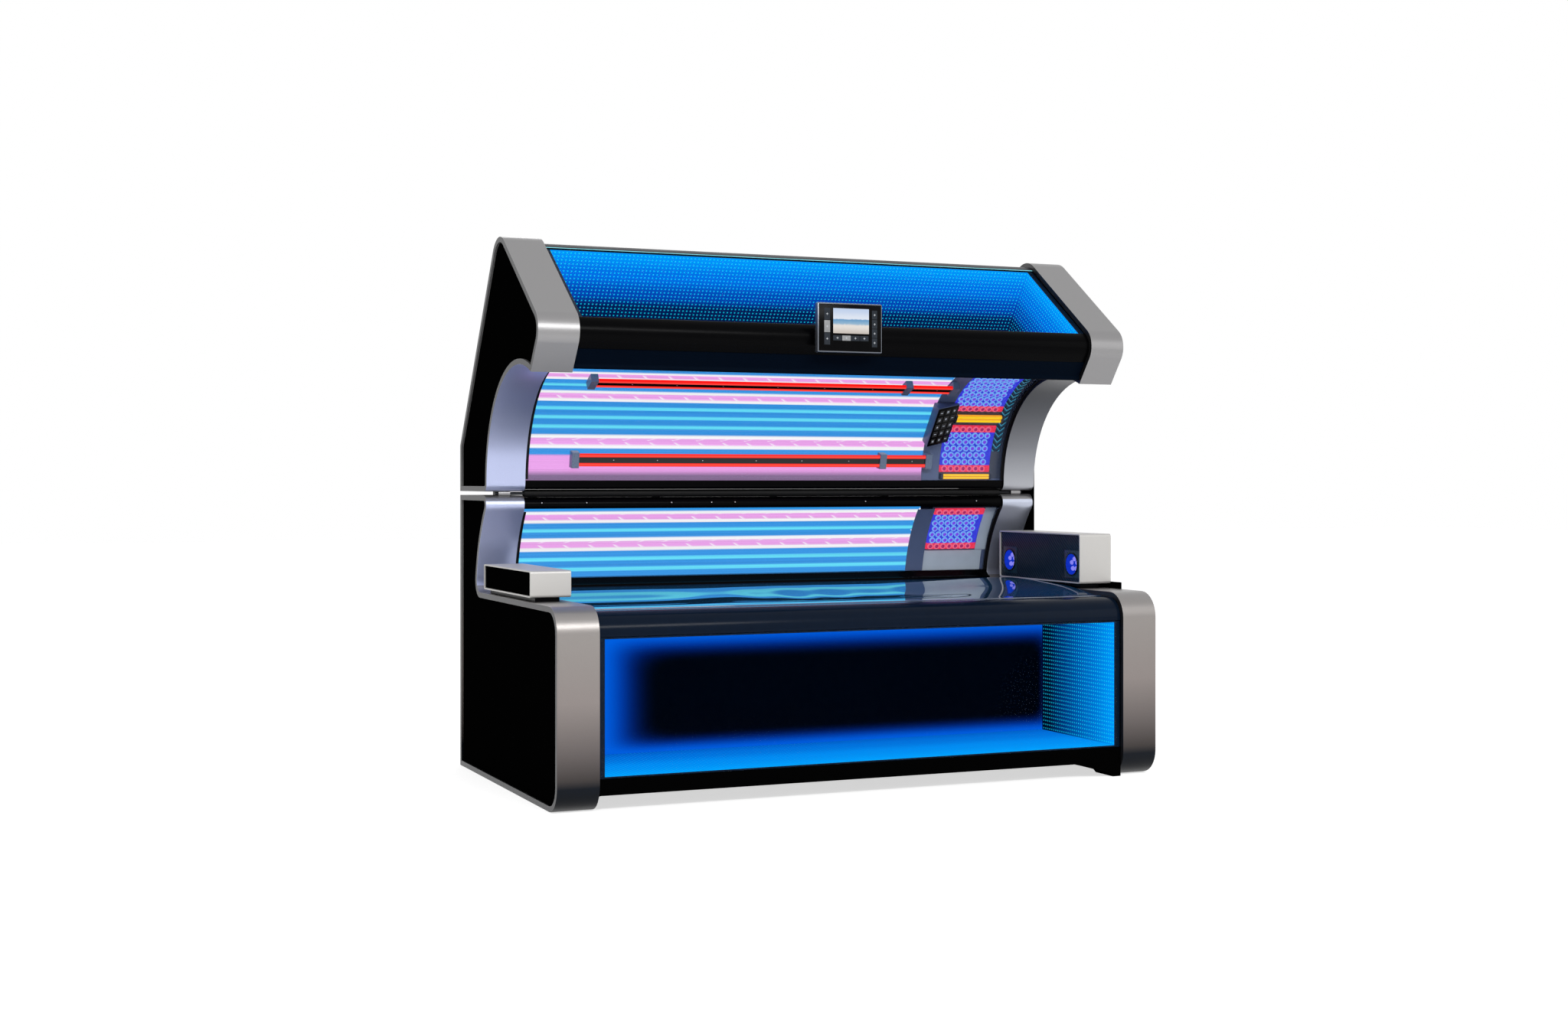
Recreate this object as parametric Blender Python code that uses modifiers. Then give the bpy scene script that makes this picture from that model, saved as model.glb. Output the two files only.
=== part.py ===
"""Sun-lounger tanning bed: a lit base with a bench and a lit canopy hinged at its waist.

X runs along the bed, foot end at -X and head end at +X. The user steps in from -Y. Z is up, and the bed
stands on Z = 0. Lengths are in metres and angles in degrees.
"""
import math

import bmesh
import bpy
from mathutils import Matrix, Vector

# Overall sizes
LENGTH = 2.400
DEPTH = 1.316
SHELF_HEIGHT = 0.702
WAIST_HEIGHT = 1.075
SPLIT_GAP = 0.015

# Fits
SEAT = 0.0004
CURVED_SEAT = 0.0009
RUNNING = 0.0020
BITE = 0.0010

# End bands and the body between them
BAND_WIDTH = 0.152
BAND_WALL = 0.020
BODY_INSET = 0.018
RAIL_INSET = 0.008
SHEET = 0.003
PANEL_RECESS = 0.008
PANEL_THICKNESS = 0.006
SHIELD_THICKNESS = 0.005

# Head-end shield: an L-shaped plate that stands on the shelf line and steps up behind the rear wall
SHIELD_REACH = 0.244
SHIELD_LAP = 0.062
SHIELD_STAND = 0.026
SHIELD_STEP = 0.038
SHIELD_RISE = 0.128
SHIELD_INSET = 0.058

# Base end profile
BASE_CORNER = 0.095
NOSE_FRONT = 0.263
NOSE_RADIUS = 0.036
WALL_CENTRE = (-0.124, 0.655)
SHELF_FILLET = 0.045

# Canopy end profile
KNEE_HEIGHT = 1.271
BACK_LEAN = 34.5
ROOF_SLOPE = 35.3
APEX_RADIUS = 0.110
BROW_CENTRE = (-0.354, 1.660)
BROW_RADIUS = 0.080
TUNNEL_Y = -0.174
TUNNEL_RADIUS = 0.430
LIP_ANGLE = 113.3
SPLIT_FILLET = 0.030

# Canopy hinge
HINGE_Y = 0.298
SHAFT_RADIUS = 0.006
SHAFT_INSET = 0.044
KNUCKLE_RADIUS = 0.0145
KNUCKLE_INSET = 0.100
KNUCKLE_LENGTH = 0.045
SADDLE_COUNT = 5
SADDLE_INSET = 0.040
SADDLE_LENGTH = 0.030
CANOPY_RAIL_RISE = 0.012
CANOPY_RAIL_REACH = 0.036
WAIST_RAIL_REACH = 0.047
RAIL_WALL = 0.004

# Canopy lift
LIFT_ARM = 0.175
LIFT_SWING = 45.0
LUG_INSET = 0.100
LUG_THICKNESS = 0.012
LUG_LENGTH = 0.060
STUD_RADIUS = 0.005
STUD_LENGTH = 0.024
CROSSHEAD = (0.018, 0.050, 0.034)
LIFT_ROD_RADIUS = 0.008
LIFT_BODY = 0.040
LIFT_BODY_FOOT = 0.500
LIFT_BODY_GAP = 0.0585
LIFT_BRACKET = 0.080
LIFT_BRACKET_RISE = 0.060
LIFT_MOTOR_RADIUS = 0.020
LIFT_MOTOR_LENGTH = 0.160
LIFT_BORE_FLOOR = 0.020

# Lamps
LAMP_RADIUS = 0.019
LAMP_PITCH = 0.0432
LAMP_FOOT_INSET = 0.124
LAMP_HEAD_INSET = 0.516
LAMP_SOCKET = 0.0115
LAMP_DEPTH = 0.046
ACRYLIC_DEPTH = 0.016
ACRYLIC = 0.004
REFLECTOR_DEPTH = 0.072
CANOPY_LAMPS = 18
CANOPY_LAMP_ANGLE = 7.9
REAR_LAMPS = 7
REAR_LAMP_ANGLE = 12.8
BENCH_LAMPS = 17
BENCH_LAMP_RADIUS = 0.0133
BENCH_LAMP_RISE = 0.030
BENCH_LAMP_MARGIN = 0.010
BENCH_SOCKET_HEIGHT = 0.044

# Face zone at the head end
COVER_LAP = 0.019
COVER_WIDTH = 0.081
COVER_DEPTH = 0.0215
CARRIER_DEPTH = 0.0363
BOARD_MARGIN = 0.008
BOARD_INSET = 0.0576
BOARD_THICKNESS = 0.0075
LENS_RADIUS = 0.0105
LENS_HEIGHT = 0.005
LENS_COLUMNS = 7
FACE_LAMP_STANDOFF = 0.0075
FACE_LAMP_CLAMP = 0.001
FACE_LAMP_CAP = 0.012

# Boards as first and last angle and number of lens rows
LOWER_BOARD = (6.0, 31.6, 7)
UPPER_BOARD = (41.0, 70.0, 8)
REAR_BOARD = (19.1, 39.0, 7)

# Face lamps as angle, gap between the tubes, tube radius, and how far they start and end past the boards
UPPER_FACE_LAMP = (36.2, 0.018, 0.0065, 0.021, 0.020)
LOWER_FACE_LAMP = (3.6, 0.011, 0.0045, 0.003, 0.010)

# Red rails on the canopy acrylic
RED_RAIL_ANGLES = {"upper": 63.5, "lower": 12.5}
RED_RAIL_INSET = 0.330
RED_RAIL_OVERRUN = 0.006
RED_RAIL_HALF = 0.020
RED_RAIL_STANDOFF = 0.022
RED_BAR = 0.008
RED_TUBE_RADIUS = 0.006
RED_BRACKET_WIDTH = 0.030
RED_BRACKET_OFFSET = 0.240

# Keypad housing on the canopy acrylic
KEYPAD_ANGLE = 36.0
KEYPAD_LAP = 0.039
KEYPAD_LENGTH = 0.115
KEYPAD_HALF = 0.095
KEYPAD_DEEP = 0.050
KEYPAD_SHALLOW = 0.012
KEYPAD_EDGE = 0.004

# Display tablet on the brow
TABLET_X = -0.014
TABLET_DROP = 0.055
TABLET_WIDTH = 0.264
TABLET_HEIGHT = 0.183
TABLET_THICKNESS = 0.028
TABLET_EDGE = 0.005
TABLET_NECK_WIDTH = 0.080
TABLET_NECK_HEIGHT = 0.024

# Bench
BENCH_FRONT = -0.500
BENCH_BACK = 0.372
BENCH_THICKNESS = 0.008
BENCH_LEDGE = 0.6755
BENCH_HINGE_DROP = 0.004
BENCH_RISE = 0.030
LEDGE_WIDTH = 0.030
LEDGE_FLAT = 0.035
LEDGE_WALL = 0.015
TROUGH_DEPTH = 0.040
PILLOW_HEIGHT = 0.080
PILLOW_INSET = 0.560
PILLOW_RAMP = 0.120
CORNER_WIDTH = 0.040
CORNER_SHEET = 0.010
# The corner strip's face from its top edge, as how far it is set back and dropped
CORNER_FACE = ((0.036, 0.000), (0.014, 0.022), (0.000, 0.026))

# Light boxes and plinth
PLINTH_BOTTOM = 0.055
PLINTH_TOP = 0.1117
CHASSIS_WALL = 0.010
CHASSIS_FLOOR = 0.004
CHASSIS_BAYS = 4
PLINTH_FOOT_LENGTH = 0.2016
PLINTH_FOOT_WIDTH = 0.120
PLINTH_FOOT_SETBACK = 0.200
# The sole of a plinth foot, as distance from the end of the body and height
PLINTH_FOOT_SOLE = ((0.1126, 0.033), (0.0476, 0.014), (0.0356, 0.000))
GLASS = 0.006
BOX_TOP = 0.595
BOX_BACK = -0.095
BOX_WALL = 0.006
BOX_END_WALL = 0.025
ROOF_BOX_DEPTH = 0.300

# Bezel and fascia under the roof glass
SEAM = 0.030
FASCIA_DEPTH = 0.003
BEZEL_WALL = 0.010
LIP_ROLL = 0.009

# Fans and power unit inside the base
FAN_SPACING = 1.000
FAN_HEIGHT = 0.380
FAN_RADIUS = 0.110
FAN_STANDOFF = 0.058
FAN_DEPTH = 0.066
FAN_PLATE_MARGIN = 0.200
FAN_PLATE_RISE = 0.060
FAN_BAR = 0.006
FAN_BAR_HALF = 0.012
FAN_MOTOR_RADIUS = 0.030
FAN_MOTOR_REACH = 0.026
FAN_HUB_RADIUS = 0.032
FAN_HUB_LENGTH = 0.034
FAN_BLADES = 7
FAN_BLADE_PITCH = 32.0
FAN_BLADE = (0.030, 0.002)
LOUVRES = 6
LOUVRE_PITCH = 0.034
LOUVRE_HALF = (0.100, 0.007)
POWER_TRAY = (1.240, 0.400, 0.006)
POWER_FRONT = 0.020
BALLAST = (0.180, 0.150, 0.085)
BALLAST_ROWS = 2
BALLAST_COLUMNS = 6

# Consoles on the shelf, each as length along the bed, depth and height
FOOT_CONSOLE_SIZE = (0.151, 0.630, 0.0955)
HEAD_CONSOLE_SIZE = (0.1455, 0.641, 0.198)
FOOT_CONSOLE_LIFT = 0.016
HEAD_CONSOLE_LIFT = 0.019
CONSOLE_BACK = 0.295
PEDESTAL_MARGIN = 0.015
# Pedestals, as nearest and farthest distance from the end of the bed
FOOT_PEDESTAL = (0.022, 0.113)
HEAD_PEDESTAL = (0.053, 0.140)
CONSOLE_WALL = 0.006
CONSOLE_CORNER = 0.010
SPOT_RADIUS = 0.048
SPOT_REAR_INSET = 0.083
SPOT_FRONT_INSET = 0.066
SPOT_RISE = 0.076
SPOT_DEPTH = 0.034
SPOT_DISH = 0.020
SPOT_RIM = 0.004
SPOT_TAPER = 0.008
SPOT_LENSES = 5
SPOT_LENS_CIRCLE = 0.022
SPOT_LENS_RADIUS = 0.011
SPOT_LENS_HEIGHT = 0.011

# Derived places
HALF = LENGTH / 2
FRONT = -DEPTH / 2
BACK = DEPTH / 2
SPAN = HALF - BAND_WIDTH - SEAT
SHAFT_REACH = HALF - SHAFT_INSET
KNUCKLE_INNER = HALF - KNUCKLE_INSET
LUG_INNER = HALF - LUG_INSET
LAMP_START = -HALF + LAMP_FOOT_INSET
LAMP_END = HALF - LAMP_HEAD_INSET
COVER_START = LAMP_END - COVER_LAP
COVER_END = COVER_START + COVER_WIDTH
BOARD_START = COVER_END + BOARD_MARGIN
BOARD_END = SPAN - BOARD_INSET
RED_RAIL_START = -HALF + RED_RAIL_INSET
RED_RAIL_END = LAMP_END + RED_RAIL_OVERRUN
FAN_PLACES = {-1: -FAN_SPACING / 2, 1: FAN_SPACING / 2}
FAN_PLATE_Y = BACK - FAN_STANDOFF
CANOPY_BOTTOM = WAIST_HEIGHT + SPLIT_GAP
TUNNEL_CENTRE = (TUNNEL_Y, CANOPY_BOTTOM + SPLIT_FILLET)
NOSE_CENTRE = (NOSE_FRONT + NOSE_RADIUS, WAIST_HEIGHT - NOSE_RADIUS)
HINGE_Z = WAIST_HEIGHT + SPLIT_GAP / 2
HINGE_RAIL_TOP = TUNNEL_CENTRE[1] + CANOPY_RAIL_RISE
HINGE_RAIL_BACK = HINGE_Y + CANOPY_RAIL_REACH
RAIL_END = HINGE_Y + WAIST_RAIL_REACH
WALL_RADIUS = math.dist(NOSE_CENTRE, WALL_CENTRE) - NOSE_RADIUS
BAND_ENDS = {-1: HALF, 1: HALF - SHIELD_THICKNESS - SEAT}
END_NAMES = {-1: "foot", 1: "head"}
BENCH_EDGE_TOP = BENCH_LEDGE + SEAT + BENCH_THICKNESS
BENCH_HINGE_Z = BENCH_EDGE_TOP + BENCH_RISE - BENCH_HINGE_DROP
REFLECTOR_TOP = BOX_TOP + SEAT + SHEET
CORNER_TOP = SHELF_HEIGHT + SHELF_FILLET + RUNNING / 2
CORNER_FRONT = BENCH_BACK + RUNNING


def corners(low, size):
    return low, tuple(start + length for start, length in zip(low, size))


FOOT_CONSOLE = corners(
    (-HALF, CONSOLE_BACK - FOOT_CONSOLE_SIZE[1], SHELF_HEIGHT + FOOT_CONSOLE_LIFT), FOOT_CONSOLE_SIZE
)
HEAD_CONSOLE = corners(
    (
        HALF - SHIELD_THICKNESS - BITE - HEAD_CONSOLE_SIZE[0],
        CONSOLE_BACK - HEAD_CONSOLE_SIZE[1],
        SHELF_HEIGHT + HEAD_CONSOLE_LIFT,
    ),
    HEAD_CONSOLE_SIZE,
)
SPOT_PLACES = {"rear": HEAD_CONSOLE[1][1] - SPOT_REAR_INSET, "front": HEAD_CONSOLE[0][1] + SPOT_FRONT_INSET}
SPOT_HEIGHT = HEAD_CONSOLE[0][2] + SPOT_RISE
TABLET = corners(
    (
        TABLET_X - TABLET_WIDTH / 2,
        BROW_CENTRE[0] - BROW_RADIUS - TABLET_THICKNESS,
        BROW_CENTRE[1] - TABLET_DROP,
    ),
    (TABLET_WIDTH, TABLET_THICKNESS, TABLET_HEIGHT),
)

FINISHES = {
    "band_silver": ((0.33, 0.33, 0.33), 0.30, 0.85),
    "panel_black": ((0.012, 0.012, 0.014), 0.35, 0.0),
    "trim_black": ((0.010, 0.010, 0.012), 0.20, 0.0),
    "sheet_grey": ((0.18, 0.19, 0.20), 0.45, 0.6),
    "console_silver": ((0.57, 0.56, 0.54), 0.35, 0.7),
    "clear_acrylic": ((0.75, 0.78, 0.85), 0.08, 0.0),
    "bench_acrylic": ((0.05, 0.12, 0.24), 0.08, 0.0),
    "tinted_glass": ((0.01, 0.12, 0.45), 0.05, 0.0),
    "light_box": ((0.00, 0.10, 0.40), 0.40, 0.0),
    "reflector_sheet": ((0.55, 0.58, 0.65), 0.15, 0.9),
    "lamp_glass": ((0.85, 0.62, 0.85), 0.25, 0.0),
    "face_lamp_glass": ((0.95, 0.60, 0.05), 0.25, 0.0),
    "slate_cover": ((0.07, 0.09, 0.13), 0.40, 0.2),
    "led_board": ((0.04, 0.05, 0.55), 0.30, 0.0),
    "red_rail": ((0.80, 0.02, 0.02), 0.30, 0.0),
    "device_black": ((0.02, 0.02, 0.025), 0.25, 0.0),
    "spot_blue": ((0.02, 0.12, 0.60), 0.25, 0.0),
    "steel_dark": ((0.10, 0.10, 0.11), 0.40, 0.9),
    "fan_plastic": ((0.03, 0.03, 0.035), 0.50, 0.0),
}


def clear_scene():
    for obj in list(bpy.data.objects):
        bpy.data.objects.remove(obj, do_unlink=True)


def new_collection(name):
    collection = bpy.data.collections.new(name)
    bpy.context.scene.collection.children.link(collection)
    return collection


clear_scene()
PARTS = new_collection("tanning_bed")
CUTTERS = new_collection("tanning_bed_cutters")
CUTTERS.hide_render = True


def finish_of(name):
    material = bpy.data.materials.get(name)
    if material:
        return material
    colour, roughness, metallic = FINISHES[name]
    material = bpy.data.materials.new(name)
    material.use_nodes = True
    shader = material.node_tree.nodes["Principled BSDF"]
    shader.inputs["Base Color"].default_value = (*colour, 1.0)
    shader.inputs["Roughness"].default_value = roughness
    shader.inputs["Metallic"].default_value = metallic
    return material


def placed(name, bm, finish):
    """A mesh object in the parts collection, its faces turned outward."""
    bmesh.ops.recalc_face_normals(bm, faces=bm.faces)
    mesh = bpy.data.meshes.new(name)
    bm.to_mesh(mesh)
    bm.free()
    obj = bpy.data.objects.new(name, mesh)
    PARTS.objects.link(obj)
    if finish:
        mesh.materials.append(finish_of(finish))
    return obj


# Outlines are lists of (Y, Z) points, counter-clockwise.


def arc(centre, radius, start, end, steps):
    points = []
    for step in range(steps + 1):
        angle = math.radians(start + (end - start) * step / steps)
        points.append((centre[0] + radius * math.cos(angle), centre[1] + radius * math.sin(angle)))
    return points


def arc_strip(centre, inner, outer, start, end, steps):
    return arc(centre, outer, start, end, steps) + arc(centre, inner, end, start, steps)


def ring_angle(centre, radius, height):
    """The angle at which a circle about the centre passes this height, on its back side."""
    return math.degrees(math.asin((height - centre[1]) / radius))


def on_ring(centre, radius, angle):
    return arc(centre, radius, angle, angle, 1)[0]


def moved_in(points, distance):
    """A closed counter-clockwise outline moved inward, point for point."""
    moved = []
    count = len(points)
    for index in range(count):
        here = Vector(points[index])
        before = (here - Vector(points[index - 1])).normalized()
        after = (Vector(points[(index + 1) % count]) - here).normalized()
        normal = Vector((-before.y - after.y, before.x + after.x)).normalized()
        reach = distance / normal.dot(Vector((-before.y, before.x)))
        moved.append(tuple(here + reach * normal))
    return moved


def rounded_rectangle(low, high, radius, steps=4):
    centres = [
        (high[0] - radius, low[1] + radius),
        (high[0] - radius, high[1] - radius),
        (low[0] + radius, high[1] - radius),
        (low[0] + radius, low[1] + radius),
    ]
    points = []
    for quarter, centre in enumerate(centres):
        points += arc(centre, radius, 90 * quarter - 90, 90 * quarter, steps)
    return points


def extruded(name, outlines, low, high, finish, axis="X"):
    """Flat outlines, the second and later ones holes, drawn out along X, or along Y from outlines in (X, Z)."""
    data = bpy.data.curves.new(name, "CURVE")
    data.dimensions = "2D"
    data.fill_mode = "BOTH"
    data.extrude = (high - low) / 2
    for outline in outlines:
        spline = data.splines.new("POLY")
        spline.points.add(len(outline) - 1)
        spline.use_cyclic_u = True
        for point, (first, second) in zip(spline.points, outline):
            point.co = (first, second, 0.0, 1.0)
    guide = bpy.data.objects.new(name + "_outline", data)
    PARTS.objects.link(guide)
    bpy.context.view_layer.update()
    evaluated = guide.evaluated_get(bpy.context.evaluated_depsgraph_get())
    mesh = bpy.data.meshes.new_from_object(evaluated)
    bpy.data.objects.remove(guide, do_unlink=True)
    middle = (low + high) / 2
    if axis == "X":
        turn = Matrix.Translation((middle, 0, 0)) @ Matrix(((0, 0, 1, 0), (1, 0, 0, 0), (0, 1, 0, 0), (0, 0, 0, 1)))
    else:
        turn = Matrix.Translation((0, middle, 0)) @ Matrix(((1, 0, 0, 0), (0, 0, -1, 0), (0, 1, 0, 0), (0, 0, 0, 1)))
    bm = bmesh.new()
    bm.from_mesh(mesh)
    bpy.data.meshes.remove(mesh)
    bmesh.ops.transform(bm, matrix=turn, verts=bm.verts)
    bmesh.ops.remove_doubles(bm, verts=bm.verts, dist=0.00001)
    return placed(name, bm, finish)


def add_box(bm, low, high):
    size = [b - a for a, b in zip(low, high)]
    middle = [(a + b) / 2 for a, b in zip(low, high)]
    bmesh.ops.create_cube(bm, size=1.0, matrix=Matrix.Translation(middle) @ Matrix.Diagonal((*size, 1.0)))


def add_cone(bm, start, end, radius, end_radius=None, segments=12):
    """A closed cylinder or cone frustum between two points."""
    start = Vector(start)
    along = Vector(end) - start
    turn = along.to_track_quat("Z", "Y").to_matrix().to_4x4()
    bmesh.ops.create_cone(
        bm,
        cap_ends=True,
        segments=segments,
        radius1=radius,
        radius2=radius if end_radius is None else end_radius,
        depth=along.length,
        matrix=Matrix.Translation(start + along / 2) @ turn,
    )


def boxes(name, pairs, finish=None):
    bm = bmesh.new()
    for low, high in pairs:
        add_box(bm, low, high)
    return placed(name, bm, finish)


def cylinder(name, start, end, radius, finish=None, segments=16):
    bm = bmesh.new()
    add_cone(bm, start, end, radius, segments=segments)
    return placed(name, bm, finish)


def combine(target, helper, operation):
    """A Boolean on the target; the helper goes to the cutters."""
    PARTS.objects.unlink(helper)
    CUTTERS.objects.link(helper)
    helper.hide_render = True
    helper.display_type = "WIRE"
    modifier = target.modifiers.new(helper.name, "BOOLEAN")
    modifier.operation = operation
    modifier.solver = "EXACT"
    modifier.object = helper
    return target


def fused(target, helper):
    return combine(target, helper, "UNION")


def cut(target, helper):
    return combine(target, helper, "DIFFERENCE")


def sided(side, near, far):
    """An X range that starts nearest the middle of the bed, as (low, high)."""
    return (near, far) if side > 0 else (-far, -near)


# End profiles


def base_outline():
    nose_turn = math.degrees(math.atan2(NOSE_CENTRE[1] - WALL_CENTRE[1], NOSE_CENTRE[0] - WALL_CENTRE[0]))
    fillet_reach = WALL_RADIUS - SHELF_FILLET
    fillet_height = SHELF_HEIGHT + SHELF_FILLET
    fillet_y = WALL_CENTRE[0] + math.sqrt(fillet_reach**2 - (fillet_height - WALL_CENTRE[1]) ** 2)
    wall_end = math.degrees(math.atan2(fillet_height - WALL_CENTRE[1], fillet_y - WALL_CENTRE[0]))
    return (
        arc((FRONT + BASE_CORNER, BASE_CORNER), BASE_CORNER, 180, 270, 9)
        + [(BACK, 0.0), (BACK, WAIST_HEIGHT)]
        + arc(NOSE_CENTRE, NOSE_RADIUS, 90, 180 + nose_turn, 10)[:-1]
        + arc(WALL_CENTRE, WALL_RADIUS, nose_turn, wall_end, 9)
        + arc((fillet_y, fillet_height), SHELF_FILLET, wall_end, -90, 8)[1:]
        + arc((FRONT + BASE_CORNER, SHELF_HEIGHT - BASE_CORNER), BASE_CORNER, 90, 180, 9)
    )


BACK_NORMAL = (math.cos(math.radians(BACK_LEAN)), math.sin(math.radians(BACK_LEAN)))
ROOF_NORMAL = (-math.sin(math.radians(ROOF_SLOPE)), math.cos(math.radians(ROOF_SLOPE)))
DOWN_ROOF = (-ROOF_NORMAL[1], ROOF_NORMAL[0])


def meeting(first, first_distance, second, second_distance):
    """Where two lines meet, each as a unit normal and its distance from the origin."""
    det = first[0] * second[1] - first[1] * second[0]
    return (
        (first_distance * second[1] - first[1] * second_distance) / det,
        (first[0] * second_distance - first_distance * second[0]) / det,
    )


def dot(first, second):
    return first[0] * second[0] + first[1] * second[1]


APEX_CENTRE = meeting(
    BACK_NORMAL,
    dot(BACK_NORMAL, (BACK, KNEE_HEIGHT)) - APEX_RADIUS,
    ROOF_NORMAL,
    dot(ROOF_NORMAL, BROW_CENTRE) + BROW_RADIUS - APEX_RADIUS,
)
LIP_TIP = on_ring(TUNNEL_CENTRE, TUNNEL_RADIUS, LIP_ANGLE)


def brow_end():
    """The angle at which the line from the lip tip runs onto the rounded brow."""
    away = (LIP_TIP[0] - BROW_CENTRE[0], LIP_TIP[1] - BROW_CENTRE[1])
    toward = math.degrees(math.atan2(away[1], away[0])) % 360
    return toward - math.degrees(math.acos(BROW_RADIUS / math.hypot(*away)))


BROW_END = brow_end()
BROW_STEPS = 12
APEX_STEPS = 12


def canopy_outline():
    return (
        [(BACK, CANOPY_BOTTOM), (BACK, KNEE_HEIGHT)]
        + arc(APEX_CENTRE, APEX_RADIUS, BACK_LEAN, 90 + ROOF_SLOPE, APEX_STEPS)
        + arc(BROW_CENTRE, BROW_RADIUS, 90 + ROOF_SLOPE, BROW_END, BROW_STEPS)
        + arc(TUNNEL_CENTRE, TUNNEL_RADIUS, LIP_ANGLE, 0, 24)
        + arc((TUNNEL_Y + TUNNEL_RADIUS + SPLIT_FILLET, TUNNEL_CENTRE[1]), SPLIT_FILLET, 180, 270, 6)[1:]
    )


BASE_OUTLINE = base_outline()
CANOPY_OUTLINE = canopy_outline()

# The lift stud at rest, below the hinge line and behind it
STUD_Y = HINGE_Y + LIFT_ARM * math.cos(math.radians(LIFT_SWING / 2))
STUD_Z = HINGE_Z - LIFT_ARM * math.sin(math.radians(LIFT_SWING / 2))
STUD_BULGE = HINGE_Y + LIFT_ARM - STUD_Y
LIFT_BODY_TOP = STUD_Z - CROSSHEAD[2] / 2 - LIFT_BODY_GAP
CROSSHEAD_Y = STUD_Y + STUD_BULGE / 2
LUG_LOW = STUD_Z - 4 * STUD_RADIUS
LUG_FRONT = STUD_Y - LUG_LENGTH / 2
LUG_BACK = STUD_Y + LUG_LENGTH / 2


# End bands


def base_band(side):
    end = END_NAMES[side]
    low, high = sided(side, HALF - BAND_WIDTH, BAND_ENDS[side])
    band = extruded(f"base_band_{end}", [BASE_OUTLINE, moved_in(BASE_OUTLINE, BAND_WALL)], low, high, "band_silver")
    notch = sided(side, KNUCKLE_INNER - RUNNING, KNUCKLE_INNER + KNUCKLE_LENGTH + RUNNING)
    cut(band, cylinder(f"knuckle_notch_{end}", (notch[0], HINGE_Y, HINGE_Z), (notch[1], HINGE_Y, HINGE_Z),
                       KNUCKLE_RADIUS + RUNNING))
    swept = math.hypot(LUG_BACK - HINGE_Y, HINGE_Z - LUG_LOW)
    window = sided(side, LUG_INNER - 2 * RUNNING, LUG_INNER + LUG_THICKNESS + STUD_LENGTH + 2 * RUNNING)
    cut(band, boxes(f"lift_window_{end}", [(
        (window[0], LUG_FRONT - 2 * RUNNING, WAIST_HEIGHT - BAND_WALL - RUNNING),
        (window[1], HINGE_Y + swept + 2 * RUNNING, WAIST_HEIGHT + RUNNING),
    )]))
    return band


def canopy_band(side):
    """The band with its hinge knuckle and the lug and stud that the lift rod carries."""
    end = END_NAMES[side]
    low, high = sided(side, HALF - BAND_WIDTH, BAND_ENDS[side])
    inner = moved_in(CANOPY_OUTLINE, BAND_WALL)
    band = extruded(f"canopy_band_{end}", [CANOPY_OUTLINE, inner], low, high, "band_silver")
    knuckle = sided(side, KNUCKLE_INNER, KNUCKLE_INNER + KNUCKLE_LENGTH)
    fused(band, cylinder(f"knuckle_{end}", (knuckle[0], HINGE_Y, HINGE_Z), (knuckle[1], HINGE_Y, HINGE_Z),
                         KNUCKLE_RADIUS))
    cut(band, cylinder(f"knuckle_bore_{end}", (knuckle[0] - BITE, HINGE_Y, HINGE_Z),
                       (knuckle[1] + BITE, HINGE_Y, HINGE_Z), SHAFT_RADIUS + SEAT))
    lug = sided(side, LUG_INNER, LUG_INNER + LUG_THICKNESS)
    fused(band, boxes(f"lift_lug_{end}", [
        ((lug[0], LUG_FRONT, LUG_LOW), (lug[1], LUG_BACK, CANOPY_BOTTOM + BAND_WALL / 2)),
    ]))
    stud = sided(side, LUG_INNER + LUG_THICKNESS / 2, LUG_INNER + LUG_THICKNESS + STUD_LENGTH)
    fused(band, cylinder(f"lift_stud_{end}", (stud[0], STUD_Y, STUD_Z), (stud[1], STUD_Y, STUD_Z), STUD_RADIUS,
                         segments=16))
    return band


def side_panel(name, outline, side):
    outer = BAND_ENDS[side] - PANEL_RECESS
    low, high = sided(side, outer - PANEL_THICKNESS, outer)
    return extruded(name, [moved_in(outline, BAND_WALL + SEAT)], low, high, "panel_black")


def head_end_shield():
    """Black plate against the outer face of the head-end bands."""
    low_front, tall_front, back = FRONT + SHIELD_REACH, HINGE_Y - SHIELD_STEP, BACK - SHIELD_INSET
    bottom, low_top, tall_top = SHELF_HEIGHT - SHIELD_LAP, SHELF_HEIGHT + SHIELD_STAND, WAIST_HEIGHT + SHIELD_RISE
    outline = [
        (low_front, bottom),
        (back, bottom),
        (back, tall_top),
        (tall_front, tall_top),
        (tall_front, low_top),
        (low_front, low_top),
    ]
    return extruded("head_end_shield", [outline], HALF - SHIELD_THICKNESS, HALF, "panel_black")


# Canopy between the bands


def roof_point(along, depth):
    """A point on the inset roof, measured down the slope from the apex arc and inward from the surface."""
    start = on_ring(APEX_CENTRE, APEX_RADIUS - BODY_INSET, 90 + ROOF_SLOPE)
    return (
        start[0] + along * DOWN_ROOF[0] - depth * ROOF_NORMAL[0],
        start[1] + along * DOWN_ROOF[1] - depth * ROOF_NORMAL[1],
    )


ROOF_LENGTH = math.dist(
    on_ring(APEX_CENTRE, APEX_RADIUS, 90 + ROOF_SLOPE),
    on_ring(BROW_CENTRE, BROW_RADIUS, 90 + ROOF_SLOPE),
)


def canopy_back_shell():
    """Sheet from the hinge rail along the underside, up the back and over the apex."""
    outer = moved_in(CANOPY_OUTLINE, BODY_INSET)
    inner = moved_in(CANOPY_OUTLINE, BODY_INSET + SHEET)
    last = 2 + APEX_STEPS
    start = HINGE_RAIL_BACK + SEAT
    edge = [roof_point(0, 0), roof_point(0, SHEET)]
    outline = [(start, outer[0][1])] + outer[:last] + edge + inner[last - 1 :: -1] + [(start, inner[0][1])]
    return extruded("canopy_back_shell", [outline], -SPAN, SPAN, "sheet_grey")


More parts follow.
